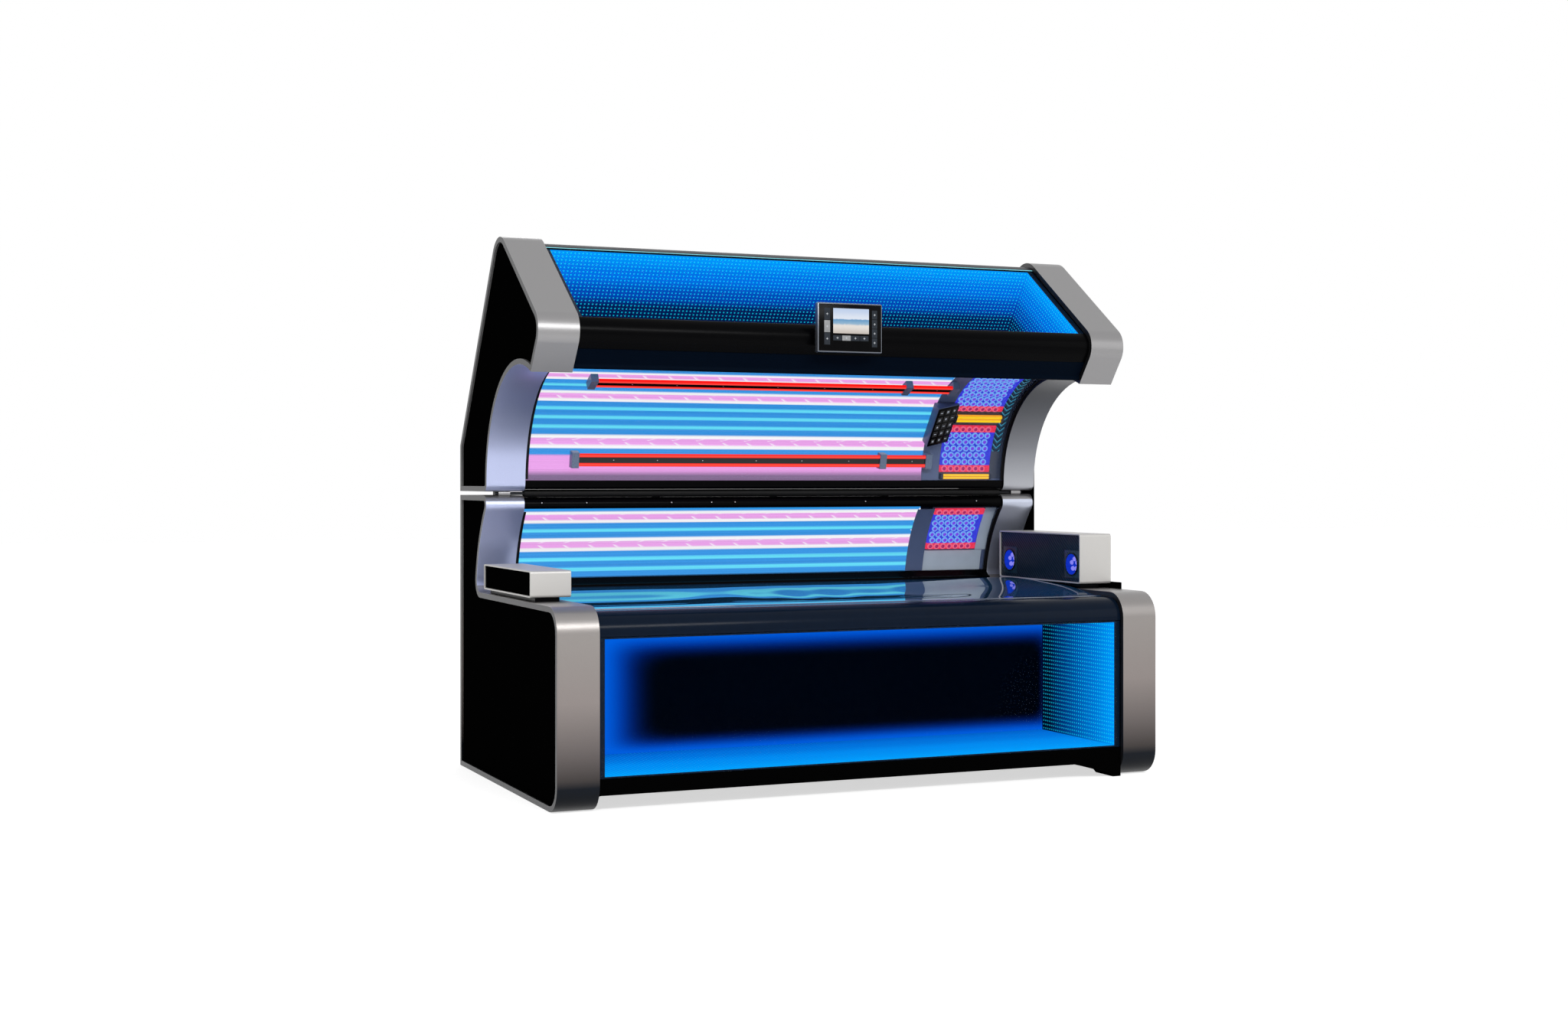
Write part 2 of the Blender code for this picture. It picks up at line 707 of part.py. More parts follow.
def canopy_light_glass():
    top, bottom = SEAT, ROOF_LENGTH - SEAT
    outline = [roof_point(top, 0), roof_point(bottom, 0), roof_point(bottom, GLASS), roof_point(top, GLASS)]
    return extruded("canopy_light_glass", [outline], -SPAN, SPAN, "tinted_glass")


def canopy_light_tray():
    """Wedge-shaped light box under the roof glass, open toward it."""
    face = GLASS + SEAT
    top, bottom = SHEET + SEAT, ROOF_LENGTH - BOX_WALL
    heel = BOX_WALL * 4
    outer = [
        roof_point(top, face),
        roof_point(bottom, face),
        roof_point(bottom, face + heel),
        roof_point(top, ROOF_BOX_DEPTH),
    ]
    tray = extruded("canopy_light_tray", [outer], -SPAN, SPAN, "light_box")
    inner = moved_in(outer, BOX_WALL)
    mouth = [roof_point(bottom - BOX_WALL, face - BOX_WALL), roof_point(top + BOX_WALL, face - BOX_WALL)]
    end = SPAN - BOX_END_WALL
    return cut(tray, extruded("roof_box_pocket", [[mouth[1], mouth[0]] + inner[2:]], -end, end, None))


def lip_point(along, depth):
    """A point on the sloping lip, measured down from the brow and inward from the band's surface."""
    start = on_ring(BROW_CENTRE, BROW_RADIUS - depth, BROW_END)
    angle = math.radians(BROW_END + 90)
    return (start[0] + along * math.cos(angle), start[1] + along * math.sin(angle))


LIP_LENGTH = math.dist(on_ring(BROW_CENTRE, BROW_RADIUS, BROW_END), LIP_TIP)


def canopy_bezel():
    """Black rounded brow from the roof glass down to the seam."""
    start = 90 + ROOF_SLOPE
    outer = arc(BROW_CENTRE, BROW_RADIUS - BODY_INSET, start, BROW_END, BROW_STEPS)
    inner = arc(BROW_CENTRE, BROW_RADIUS - BODY_INSET - BEZEL_WALL, BROW_END, start, BROW_STEPS)
    end = [lip_point(SEAM, BODY_INSET), lip_point(SEAM, BODY_INSET + BEZEL_WALL)]
    return extruded("canopy_bezel", [outer + end + inner], -SPAN, SPAN, "trim_black")


def canopy_fascia():
    """Flat strip below the seam with a rounded lip along its lower edge."""
    front = BODY_INSET + FASCIA_DEPTH
    back = BODY_INSET + BEZEL_WALL
    neck = LIP_LENGTH - 3 * LIP_ROLL
    roll = lip_point(LIP_LENGTH - 1.5 * LIP_ROLL, front)
    turn = BROW_END
    outline = (
        [lip_point(SEAM + SEAT, back), lip_point(SEAM + SEAT, front), lip_point(neck, front)]
        + arc(roll, LIP_ROLL, turn - 60, turn + 150, 10)
        + [lip_point(neck, back)]
    )
    return extruded("canopy_fascia", [outline], -SPAN, SPAN, "trim_black")


def canopy_hinge_rail():
    front = TUNNEL_Y + TUNNEL_RADIUS + RAIL_INSET
    low = CANOPY_BOTTOM + RAIL_INSET
    outline = [
        (front + RAIL_INSET, low),
        (HINGE_RAIL_BACK, low),
        (HINGE_RAIL_BACK, HINGE_RAIL_TOP),
        (front, HINGE_RAIL_TOP),
        (front, low + RAIL_INSET),
    ]
    return extruded("canopy_hinge_rail", [outline], -SPAN, SPAN, "trim_black")


def ring_sheet(name, centre, inner, thickness, seat_height, end, steps, finish, low=-SPAN, high=SPAN):
    """A curved sheet that stands on a rail at the seat height."""
    start = ring_angle(centre, inner, seat_height + SEAT)
    return extruded(name, [arc_strip(centre, inner, inner + thickness, start, end, steps)], low, high, finish)


def lamp_bank(name, centre, radius, angles):
    """Tubes on an arc between two curved socket rails."""
    inner = radius + ACRYLIC_DEPTH + ACRYLIC + LAMP_DEPTH / 4
    outer = radius + REFLECTOR_DEPTH - CURVED_SEAT
    margin = math.degrees(LAMP_PITCH / 2 / radius)
    strip = arc_strip(centre, inner, outer, angles[0] - margin, angles[-1] + margin, len(angles))
    bank = extruded(name, [strip], LAMP_START, LAMP_START + LAMP_SOCKET, "lamp_glass")
    fused(bank, extruded(name + "_sockets", [strip], LAMP_END - LAMP_SOCKET, LAMP_END, None))
    bm = bmesh.new()
    for angle in angles:
        y, z = on_ring(centre, radius + LAMP_DEPTH, angle)
        add_cone(bm, (LAMP_START + LAMP_SOCKET / 2, y, z), (LAMP_END - LAMP_SOCKET / 2, y, z), LAMP_RADIUS, segments=8)
    return fused(bank, placed(name + "_tubes", bm, None))


def ring_angles(radius, start, count):
    pitch = math.degrees(LAMP_PITCH / (radius + LAMP_DEPTH))
    return [start + pitch * index for index in range(count)]


CANOPY_ANGLES = ring_angles(TUNNEL_RADIUS, CANOPY_LAMP_ANGLE, CANOPY_LAMPS)
REAR_ANGLES = ring_angles(WALL_RADIUS, REAR_LAMP_ANGLE, REAR_LAMPS)


# Face zone: cover strip over the lamp sockets, carrier plate and what is mounted on it


def face_carrier(name, centre, radius, start, end, steps, finish):
    """A curved plate that steps back past the lamp sockets."""
    cover = radius + COVER_DEPTH
    plate = radius + CARRIER_DEPTH
    block = arc_strip(centre, cover, plate + SHEET, start, end, steps)
    carrier = extruded(name, [block], COVER_START, SPAN, finish)
    past = math.degrees(2 * SHEET / radius)
    front = arc_strip(centre, cover - SHEET, plate, start - past, end + past, steps)
    cut(carrier, extruded(name + "_front", [front], COVER_END, SPAN + SHEET, None))
    back = arc_strip(centre, cover + SHEET, plate + 2 * SHEET, start - past, end + past, steps)
    return cut(carrier, extruded(name + "_back", [back], COVER_START - SHEET, COVER_END - SHEET, None))


def led_board(name, centre, radius, start, end, rows):
    """A curved circuit board with rows of lenses toward the user."""
    front = radius + CARRIER_DEPTH - CURVED_SEAT - BOARD_THICKNESS
    outline = arc_strip(centre, front, front + BOARD_THICKNESS, start, end, 8)
    board = extruded(name, [outline], BOARD_START, BOARD_END, "led_board")
    bm = bmesh.new()
    pitch = (BOARD_END - BOARD_START) / LENS_COLUMNS
    for row in range(rows):
        angle = start + (end - start) * (row + 0.5) / rows
        foot = on_ring(centre, front + BITE, angle)
        tip = on_ring(centre, front - LENS_HEIGHT, angle)
        for column in range(LENS_COLUMNS):
            x = BOARD_START + pitch * (column + 0.5)
            add_cone(bm, (x, *foot), (x, *tip), LENS_RADIUS, LENS_RADIUS * 0.6, segments=6)
    return fused(board, placed(name + "_lenses", bm, None))


def face_lamp(name, angle, gap, radius, start_past, end_past):
    """Twin tubes between two end blocks, against the carrier plate."""
    start, end = BOARD_START + start_past, BOARD_END + end_past
    seat = TUNNEL_RADIUS + CARRIER_DEPTH - CURVED_SEAT
    middle = seat - FACE_LAMP_STANDOFF
    spread = math.degrees(gap / 2 / middle)
    width = math.degrees((gap / 2 + radius + FACE_LAMP_CLAMP) / middle)
    block = arc_strip(TUNNEL_CENTRE, middle - radius - FACE_LAMP_CLAMP / 2, seat, angle - width, angle + width, 2)
    lamp = extruded(name, [block], start, start + FACE_LAMP_CAP, "face_lamp_glass")
    fused(lamp, extruded(name + "_end", [block], end - FACE_LAMP_CAP, end, None))
    bm = bmesh.new()
    for sign in (-1, 1):
        y, z = on_ring(TUNNEL_CENTRE, middle, angle + sign * spread)
        add_cone(bm, (start + FACE_LAMP_CAP / 2, y, z), (end - FACE_LAMP_CAP / 2, y, z), radius, segments=10)
    return fused(lamp, placed(name + "_tubes", bm, None))


def red_rail(name, angle):
    """Black bar with a red tube along each edge, held off the acrylic by brackets."""
    foot = TUNNEL_RADIUS + ACRYLIC_DEPTH - CURVED_SEAT
    middle = foot - RED_RAIL_STANDOFF
    reach = math.degrees(RED_RAIL_HALF / middle)
    bar = arc_strip(TUNNEL_CENTRE, middle - RED_BAR / 2, middle + RED_BAR / 2, angle - reach, angle + reach, 2)
    rail = extruded(name, [bar], RED_RAIL_START, RED_RAIL_END, "red_rail")
    bm = bmesh.new()
    for sign in (-1, 1):
        y, z = on_ring(TUNNEL_CENTRE, middle, angle + sign * reach)
        add_cone(bm, (RED_RAIL_START + BITE, y, z), (RED_RAIL_END - BITE, y, z), RED_TUBE_RADIUS, segments=10)
    fused(rail, placed(name + "_tubes", bm, None))
    wide = reach + math.degrees(2 * RED_TUBE_RADIUS / middle)
    bracket = arc_strip(TUNNEL_CENTRE, middle - 2 * RED_TUBE_RADIUS, foot, angle - wide, angle + wide, 4)
    places = (
        RED_RAIL_START - BITE,
        RED_RAIL_END - RED_BRACKET_OFFSET,
        RED_RAIL_END + BITE - RED_BRACKET_WIDTH,
    )
    for index, place in enumerate(places):
        fused(rail, extruded(f"{name}_bracket_{index}", [bracket], place, place + RED_BRACKET_WIDTH, None))
    return rail


def inner_control_panel():
    """Wedge-shaped keypad housing on the canopy acrylic, its face turned toward the head end."""
    start = LAMP_END - KEYPAD_LAP
    end = start + KEYPAD_LENGTH
    foot = TUNNEL_RADIUS + ACRYLIC_DEPTH - SEAT
    back = math.sqrt(foot**2 - KEYPAD_HALF**2)
    outline = [(start, -KEYPAD_DEEP), (end, -KEYPAD_SHALLOW), (end, 0.0), (start, 0.0)]
    panel = extruded("inner_control_panel", [outline], -KEYPAD_HALF, KEYPAD_HALF, "device_black", axis="Y")
    turn = math.radians(KEYPAD_ANGLE)
    out = Vector((0, math.cos(turn), math.sin(turn)))
    along = Vector((0, math.sin(turn), -math.cos(turn)))
    corner = Vector((0, *TUNNEL_CENTRE)) + back * out
    matrix = Matrix.Identity(4)
    matrix.col[0][:3] = (1, 0, 0)
    matrix.col[1][:3] = along
    matrix.col[2][:3] = out
    panel.data.transform(Matrix.Translation(corner) @ matrix)
    bevel = panel.modifiers.new("edges", "BEVEL")
    bevel.width = KEYPAD_EDGE
    bevel.segments = 2
    bevel.limit_method = "ANGLE"
    return panel


def display_tablet():
    tablet = boxes("display_tablet", [TABLET], "device_black")
    bevel = tablet.modifiers.new("edges", "BEVEL")
    bevel.width = TABLET_EDGE
    bevel.segments = 2
    brow = BROW_CENTRE[0] - BROW_RADIUS + BODY_INSET - SEAT
    half_width, half_height = TABLET_NECK_WIDTH / 2, TABLET_NECK_HEIGHT / 2
    return fused(tablet, boxes("tablet_neck", [(
        (TABLET_X - half_width, TABLET[1][1] - TABLET_EDGE - BITE, BROW_CENTRE[1] - half_height),
        (TABLET_X + half_width, brow, BROW_CENTRE[1] + half_height),
    )]))


# Base between the bands


def base_chassis():
    """Open ribbed pan with feet toward its corners."""
    front, back = FRONT + BODY_INSET, BACK - BODY_INSET
    chassis = boxes("base_chassis", [((-SPAN, front, PLINTH_BOTTOM), (SPAN, back, PLINTH_TOP))], "trim_black")
    bay = (2 * SPAN - CHASSIS_WALL) / CHASSIS_BAYS
    pockets = []
    for index in range(CHASSIS_BAYS):
        low = -SPAN + CHASSIS_WALL + bay * index
        pockets.append((
            (low, front + CHASSIS_WALL, PLINTH_BOTTOM + CHASSIS_FLOOR),
            (low + bay - CHASSIS_WALL, back - CHASSIS_WALL, PLINTH_TOP + BITE),
        ))
    cut(chassis, boxes("chassis_bays", pockets))
    top = PLINTH_BOTTOM + CHASSIS_FLOOR / 2
    toe = SPAN - PLINTH_FOOT_LENGTH
    for side in (-1, 1):
        outline = [(toe, PLINTH_BOTTOM - BITE)]
        outline += [(SPAN - inset, height) for inset, height in PLINTH_FOOT_SOLE]
        outline += [(SPAN, 0.0), (SPAN, top), (toe, top)]
        if side < 0:
            outline = [(-x, z) for x, z in reversed(outline)]
        setback = 0.0 if side > 0 else PLINTH_FOOT_SETBACK
        for place, low in (("front", front + setback), ("back", back - PLINTH_FOOT_WIDTH)):
            name = f"plinth_foot_{END_NAMES[side]}_{place}"
            fused(chassis, extruded(name, [outline], low, low + PLINTH_FOOT_WIDTH, None, axis="Y"))
    return chassis


def front_light_tray():
    """Deep box behind the front glass, open toward it."""
    face = FRONT + BODY_INSET + GLASS + SEAT
    low, high = PLINTH_TOP + SEAT, BOX_TOP
    tray = boxes("front_light_tray", [((-SPAN, face, low), (SPAN, BOX_BACK, high))], "light_box")
    end = SPAN - BOX_END_WALL
    return cut(tray, boxes("front_box_pocket", [
        ((-end, face - BITE, low + BOX_WALL), (end, BOX_BACK - BOX_WALL, high - BOX_WALL)),
    ]))


def front_light_glass():
    front = FRONT + BODY_INSET
    return boxes("front_light_glass", [
        ((-SPAN, front, PLINTH_TOP + SEAT), (SPAN, front + GLASS, BOX_TOP + RUNNING - SEAT)),
    ], "tinted_glass")


def bench_bezel():
    """Rounded front edge with a ledge for the bench acrylic."""
    low = BOX_TOP + RUNNING
    ledge = BENCH_FRONT + LEDGE_WIDTH
    centre = (FRONT + BASE_CORNER, SHELF_HEIGHT - BASE_CORNER)
    radius = BASE_CORNER - BODY_INSET - RUNNING
    top = centre[1] + radius
    front = centre[0] - radius
    outline = (
        [(front, low)]
        + [(front + LEDGE_WALL, low)]
        + arc(centre, radius - LEDGE_WALL, 180, 90, 8)
        + [(ledge, top - LEDGE_WALL), (ledge, BENCH_LEDGE)]
        + [(BENCH_FRONT - RUNNING, BENCH_LEDGE), (BENCH_FRONT - RUNNING, top)]
        + arc(centre, radius, 90, 180, 8)
    )
    return extruded("bench_bezel", [outline], -SPAN, SPAN, "trim_black")


def smooth(low, high, value):
    share = min(1.0, max(0.0, (value - low) / (high - low)))
    return share * share * (3 - 2 * share)


def bench_height(x, y):
    """Top of the bench acrylic: a shallow trough with a raised pillow at the head end."""
    share = (y - BENCH_FRONT - LEDGE_FLAT) / (BENCH_BACK - BENCH_FRONT - LEDGE_FLAT)
    share = min(1.0, max(0.0, share))
    across = math.sin(math.pi * share)
    trough = BENCH_EDGE_TOP + BENCH_RISE * share - TROUGH_DEPTH * across**1.5
    pillow_start = HALF - PILLOW_INSET
    return trough + PILLOW_HEIGHT * across**1.2 * smooth(pillow_start, pillow_start + PILLOW_RAMP, x)


def bench_acrylic():
    bm = bmesh.new()
    bmesh.ops.create_grid(bm, x_segments=30, y_segments=16, size=1.0)
    for vert in bm.verts:
        x = vert.co.x * SPAN
        y = BENCH_FRONT + (BENCH_BACK - BENCH_FRONT) * (vert.co.y + 1) / 2
        vert.co = (x, y, bench_height(x, y))
    bench = placed("bench_acrylic", bm, "bench_acrylic")
    if bench.data.polygons[0].normal.z < 0:
        bench.data.flip_normals()
    shell = bench.modifiers.new("sheet", "SOLIDIFY")
    shell.thickness = BENCH_THICKNESS
    shell.offset = -1.0
    return bench


def bench_reflector():
    return boxes("bench_reflector", [
        ((-SPAN, FRONT + BASE_CORNER, BOX_TOP + SEAT), (SPAN, BENCH_BACK, REFLECTOR_TOP)),
    ], "reflector_sheet")


def bench_lamp_bank():
    low, high = REFLECTOR_TOP + SEAT, REFLECTOR_TOP + BENCH_SOCKET_HEIGHT
    middle = REFLECTOR_TOP + BENCH_LAMP_RISE
    end = SPAN - BENCH_LAMP_MARGIN
    neck = end - LAMP_SOCKET
    front = (BENCH_FRONT + BENCH_BACK) / 2 - LAMP_PITCH * BENCH_LAMPS / 2
    back = front + LAMP_PITCH * BENCH_LAMPS
    bank = boxes("bench_lamp_bank", [((-end, front, low), (-neck, back, high))], "lamp_glass")
    fused(bank, boxes("bench_sockets", [((neck, front, low), (end, back, high))]))
    bm = bmesh.new()
    for index in range(BENCH_LAMPS):
        y = front + LAMP_PITCH * (index + 0.5)
        add_cone(bm, (-neck - BITE, y, middle), (neck + BITE, y, middle), BENCH_LAMP_RADIUS, segments=8)
    return fused(bank, placed("bench_tubes", bm, None))


def bench_corner_strip():
    """Black strip in the corner between bench and rear wall, with a seat for the wall sheets."""
    low = SHELF_HEIGHT - RAIL_INSET
    back = WALL_CENTRE[0] + WALL_RADIUS + REFLECTOR_DEPTH + CORNER_SHEET
    outline = [
        (CORNER_FRONT, low),
        (CORNER_FRONT + CORNER_WIDTH, low),
        (CORNER_FRONT + CORNER_WIDTH, CORNER_TOP - CORNER_SHEET),
        (back, CORNER_TOP - CORNER_SHEET),
        (back, CORNER_TOP),
    ]
    outline += [(CORNER_FRONT + setback, CORNER_TOP - drop) for setback, drop in CORNER_FACE]
    return extruded("bench_corner_strip", [outline], -SPAN, SPAN, "trim_black")


def base_hinge_rail():
    """Black waist rail with saddles under the hinge shaft."""
    outer, inner = NOSE_RADIUS - RAIL_INSET, NOSE_RADIUS - RAIL_INSET - RAIL_WALL
    top = NOSE_CENTRE[1] + outer
    outline = (
        [(RAIL_END, top - RAIL_WALL), (RAIL_END, top)]
        + arc(NOSE_CENTRE, outer, 90, 215, 9)
        + arc(NOSE_CENTRE, inner, 215, 90, 9)
    )
    rail = extruded("base_hinge_rail", [outline], -SPAN, SPAN, "trim_black")
    saddles = []
    for index in range(SADDLE_COUNT):
        x = (SPAN - SADDLE_INSET) * (2 * index / (SADDLE_COUNT - 1) - 1)
        saddles.append((
            (x - SADDLE_LENGTH / 2, HINGE_Y - SHAFT_RADIUS, top - RAIL_WALL / 2),
            (x + SADDLE_LENGTH / 2, HINGE_Y + SHAFT_RADIUS, HINGE_Z - SHAFT_RADIUS - SEAT),
        ))
    return fused(rail, boxes("shaft_saddles", saddles))


def hinge_shaft():
    ends = ((-SHAFT_REACH, HINGE_Y, HINGE_Z), (SHAFT_REACH, HINGE_Y, HINGE_Z))
    return cylinder("hinge_shaft", *ends, SHAFT_RADIUS, "steel_dark", segments=16)


def base_back_panel():
    """Sheet over the top and back of the base, with louvre slots behind the fans."""
    top = NOSE_CENTRE[1] + NOSE_RADIUS - RAIL_INSET
    back = BACK - BODY_INSET
    low = PLINTH_TOP + SEAT
    start = RAIL_END + SEAT
    outline = [
        (start, top - SHEET),
        (back - SHEET, top - SHEET),
        (back - SHEET, low),
        (back, low),
        (back, top),
        (start, top),
    ]
    panel = extruded("base_back_panel", [outline], -SPAN, SPAN, "sheet_grey")
    slots = []
    for place in FAN_PLACES.values():
        for index in range(LOUVRES):
            z = FAN_HEIGHT + (index - (LOUVRES - 1) / 2) * LOUVRE_PITCH
            slots.append((
                (place - LOUVRE_HALF[0], back - SHEET - BITE, z - LOUVRE_HALF[1]),
                (place + LOUVRE_HALF[0], back + BITE, z + LOUVRE_HALF[1]),
            ))
    return cut(panel, boxes("louvre_slots", slots))


def fan_plate():
    """Upright plate with two shrouds, each with a motor on a cross bar."""
    low = PLINTH_TOP + SEAT
    half = FAN_SPACING / 2 + FAN_PLATE_MARGIN
    top = FAN_HEIGHT + FAN_RADIUS + FAN_PLATE_RISE
    bar = FAN_PLATE_Y - 2 * SHEET + RUNNING
    plate = boxes("fan_plate", [((-half, FAN_PLATE_Y, low), (half, FAN_PLATE_Y + SHEET, top))], "sheet_grey")
    for side, x in FAN_PLACES.items():
        end = END_NAMES[side]
        shroud = ((x, FAN_PLATE_Y - FAN_DEPTH, FAN_HEIGHT), (x, FAN_PLATE_Y + SHEET / 2, FAN_HEIGHT))
        fused(plate, cylinder(f"fan_shroud_{end}", *shroud, FAN_RADIUS + SHEET, segments=24))
        bore = ((x, FAN_PLATE_Y - FAN_DEPTH - BITE, FAN_HEIGHT), (x, FAN_PLATE_Y + SHEET + BITE, FAN_HEIGHT))
        cut(plate, cylinder(f"fan_bore_{end}", *bore, FAN_RADIUS, segments=24))
        fused(plate, boxes(f"fan_bar_{end}", [(
            (x - FAN_RADIUS - SHEET / 2, bar - FAN_BAR, FAN_HEIGHT - FAN_BAR_HALF),
            (x + FAN_RADIUS + SHEET / 2, bar, FAN_HEIGHT + FAN_BAR_HALF),
        )]))
        motor = ((x, FAN_PLATE_Y - FAN_MOTOR_REACH, FAN_HEIGHT), (x, bar - FAN_BAR / 2, FAN_HEIGHT))
        fused(plate, cylinder(f"fan_motor_{end}", *motor, FAN_MOTOR_RADIUS, segments=20))
    return plate


def fan_rotor(side):
    x = FAN_PLACES[side]
    end = END_NAMES[side]
    back = FAN_PLATE_Y - FAN_MOTOR_REACH - SEAT
    hub = ((x, back - FAN_HUB_LENGTH, FAN_HEIGHT), (x, back, FAN_HEIGHT))
    rotor = cylinder(f"fan_rotor_{end}", *hub, FAN_HUB_RADIUS, "fan_plastic", 20)
    root = 0.8 * FAN_HUB_RADIUS
    reach = FAN_RADIUS - 2 * RUNNING - root
    bm = bmesh.new()
    for index in range(FAN_BLADES):
        turn = Matrix.Rotation(math.radians(360 / FAN_BLADES * index), 4, "Y")
        lean = Matrix.Rotation(math.radians(FAN_BLADE_PITCH), 4, "Z")
        shape = Matrix.Diagonal((*FAN_BLADE, reach, 1.0))
        place = Matrix.Translation((x, back - FAN_HUB_LENGTH / 2, FAN_HEIGHT))
        matrix = place @ turn @ Matrix.Translation((0, 0, root + reach / 2)) @ lean @ shape
        bmesh.ops.create_cube(bm, size=1.0, matrix=matrix)
    fused(rotor, placed(f"fan_blades_{end}", bm, None))
    return rotor


def power_unit():
    """Tray of lamp ballasts on the chassis ribs."""
    low = PLINTH_TOP + SEAT
    length, width, sheet = POWER_TRAY
    tray = ((-length / 2, POWER_FRONT, low), (length / 2, POWER_FRONT + width, low + sheet))
    unit = boxes("power_unit", [tray], "steel_dark")
    cell_x, cell_y = length / BALLAST_COLUMNS, width / BALLAST_ROWS
    blocks = []
    for row in range(BALLAST_ROWS):
        for column in range(BALLAST_COLUMNS):
            x = -length / 2 + cell_x * column + (cell_x - BALLAST[0]) / 2
            y = POWER_FRONT + cell_y * row + (cell_y - BALLAST[1]) / 2
            blocks.append(((x, y, low + sheet / 2), (x + BALLAST[0], y + BALLAST[1], low + BALLAST[2])))
    return fused(unit, boxes("ballasts", blocks))


# Canopy lift, one in each end of the base


def lift_centre(side):
    return side * (LUG_INNER + LUG_THICKNESS + STUD_LENGTH / 2)


def lift_actuator(side):
    """Upright screw actuator, carried on the side panel."""
    end = END_NAMES[side]
    x = lift_centre(side)
    half = LIFT_BODY / 2
    body = boxes(f"lift_actuator_{end}", [(
        (x - half, CROSSHEAD_Y - half, LIFT_BODY_FOOT),
        (x + half, CROSSHEAD_Y + half, LIFT_BODY_TOP),
    )], "steel_dark")
    panel = BAND_ENDS[side] - PANEL_RECESS - PANEL_THICKNESS - SEAT
    low, high = sided(side, abs(x) + half - BITE, panel)
    bracket = LIFT_BODY_FOOT + LIFT_BRACKET_RISE
    fused(body, boxes(f"lift_foot_{end}", [
        ((low, CROSSHEAD_Y - half / 2, bracket), (high, CROSSHEAD_Y + half / 2, bracket + LIFT_BRACKET)),
    ]))
    y = CROSSHEAD_Y + half + LIFT_MOTOR_RADIUS - 2 * BITE
    motor = ((x, y, LIFT_BODY_FOOT), (x, y, LIFT_BODY_FOOT + LIFT_MOTOR_LENGTH))
    fused(body, cylinder(f"lift_motor_{end}", *motor, LIFT_MOTOR_RADIUS))
    bore = ((x, CROSSHEAD_Y, LIFT_BODY_FOOT + LIFT_BORE_FLOOR), (x, CROSSHEAD_Y, LIFT_BODY_TOP + BITE))
    return cut(body, cylinder(f"lift_bore_{end}", *bore, LIFT_ROD_RADIUS + SEAT, segments=16))


def lift_rod(side):
    """Rod with a slotted crosshead in which the canopy stud slides."""
    end = END_NAMES[side]
    x = lift_centre(side)
    half = [size / 2 for size in CROSSHEAD]
    head = boxes(f"lift_rod_{end}", [(
        (x - half[0], CROSSHEAD_Y - half[1], STUD_Z - half[2]),
        (x + half[0], CROSSHEAD_Y + half[1], STUD_Z + half[2]),
    )], "steel_dark")
    rod = ((x, CROSSHEAD_Y, LIFT_BODY_FOOT + 2 * LIFT_BORE_FLOOR), (x, CROSSHEAD_Y, STUD_Z - half[2] + BITE))
    fused(head, cylinder(f"lift_stem_{end}", *rod, LIFT_ROD_RADIUS, segments=16))
    reach = STUD_BULGE / 2 + STUD_RADIUS + BITE
    slack = STUD_RADIUS + 1.2 * BITE
    return cut(head, boxes(f"crosshead_slot_{end}", [(
        (x - half[0] - BITE, CROSSHEAD_Y - reach, STUD_Z - slack),
        (x + half[0] + BITE, CROSSHEAD_Y + reach, STUD_Z + slack),
    )]))


# Consoles


def console_shell(name, console):
    """Silver shell, closed at its head end and open toward the foot end."""
    low, high = console
    shell = extruded(name, [rounded_rectangle(low[1:], high[1:], CONSOLE_CORNER)], low[0], high[0], "console_silver")
    inner_low = (low[1] + CONSOLE_WALL, low[2] + CONSOLE_WALL)
    inner_high = (high[1] - CONSOLE_WALL, high[2] - CONSOLE_WALL)
    pocket = rounded_rectangle(inner_low, inner_high, CONSOLE_CORNER - CONSOLE_WALL / 2)
    return cut(shell, extruded(name + "_pocket", [pocket], low[0] - BITE, high[0] - CONSOLE_WALL, None))


def console_panel(name, console, finish):
    """The panel that closes the open end, set back a little."""
    low, high = console
    edge = CONSOLE_WALL + SEAT
    outline = rounded_rectangle(
        (low[1] + edge, low[2] + edge), (high[1] - edge, high[2] - edge), CONSOLE_CORNER - CONSOLE_WALL / 2
    )
    start = low[0] + CONSOLE_WALL
    return extruded(name, [outline], start, start + CONSOLE_WALL, finish)


def console_pedestal(name, console, side, distances):
    low, high = console
    start, end = sided(side, HALF - distances[1], HALF - distances[0])
    return boxes(name, [(
        (start, low[1] + PEDESTAL_MARGIN, SHELF_HEIGHT + SEAT),
        (end, high[1] - PEDESTAL_MARGIN, low[2] - SEAT),
    )], "trim_black")


def head_console_grille():
    grille = console_panel("head_console_grille", HEAD_CONSOLE, "slate_cover")
    start = HEAD_CONSOLE[0][0]
    for place, y in SPOT_PLACES.items():
        hole = ((start, y, SPOT_HEIGHT), (start + SPOT_DEPTH, y, SPOT_HEIGHT))
        cut(grille, cylinder(f"spot_hole_{place}", *hole, SPOT_RADIUS + SEAT, segments=24))
    return grille


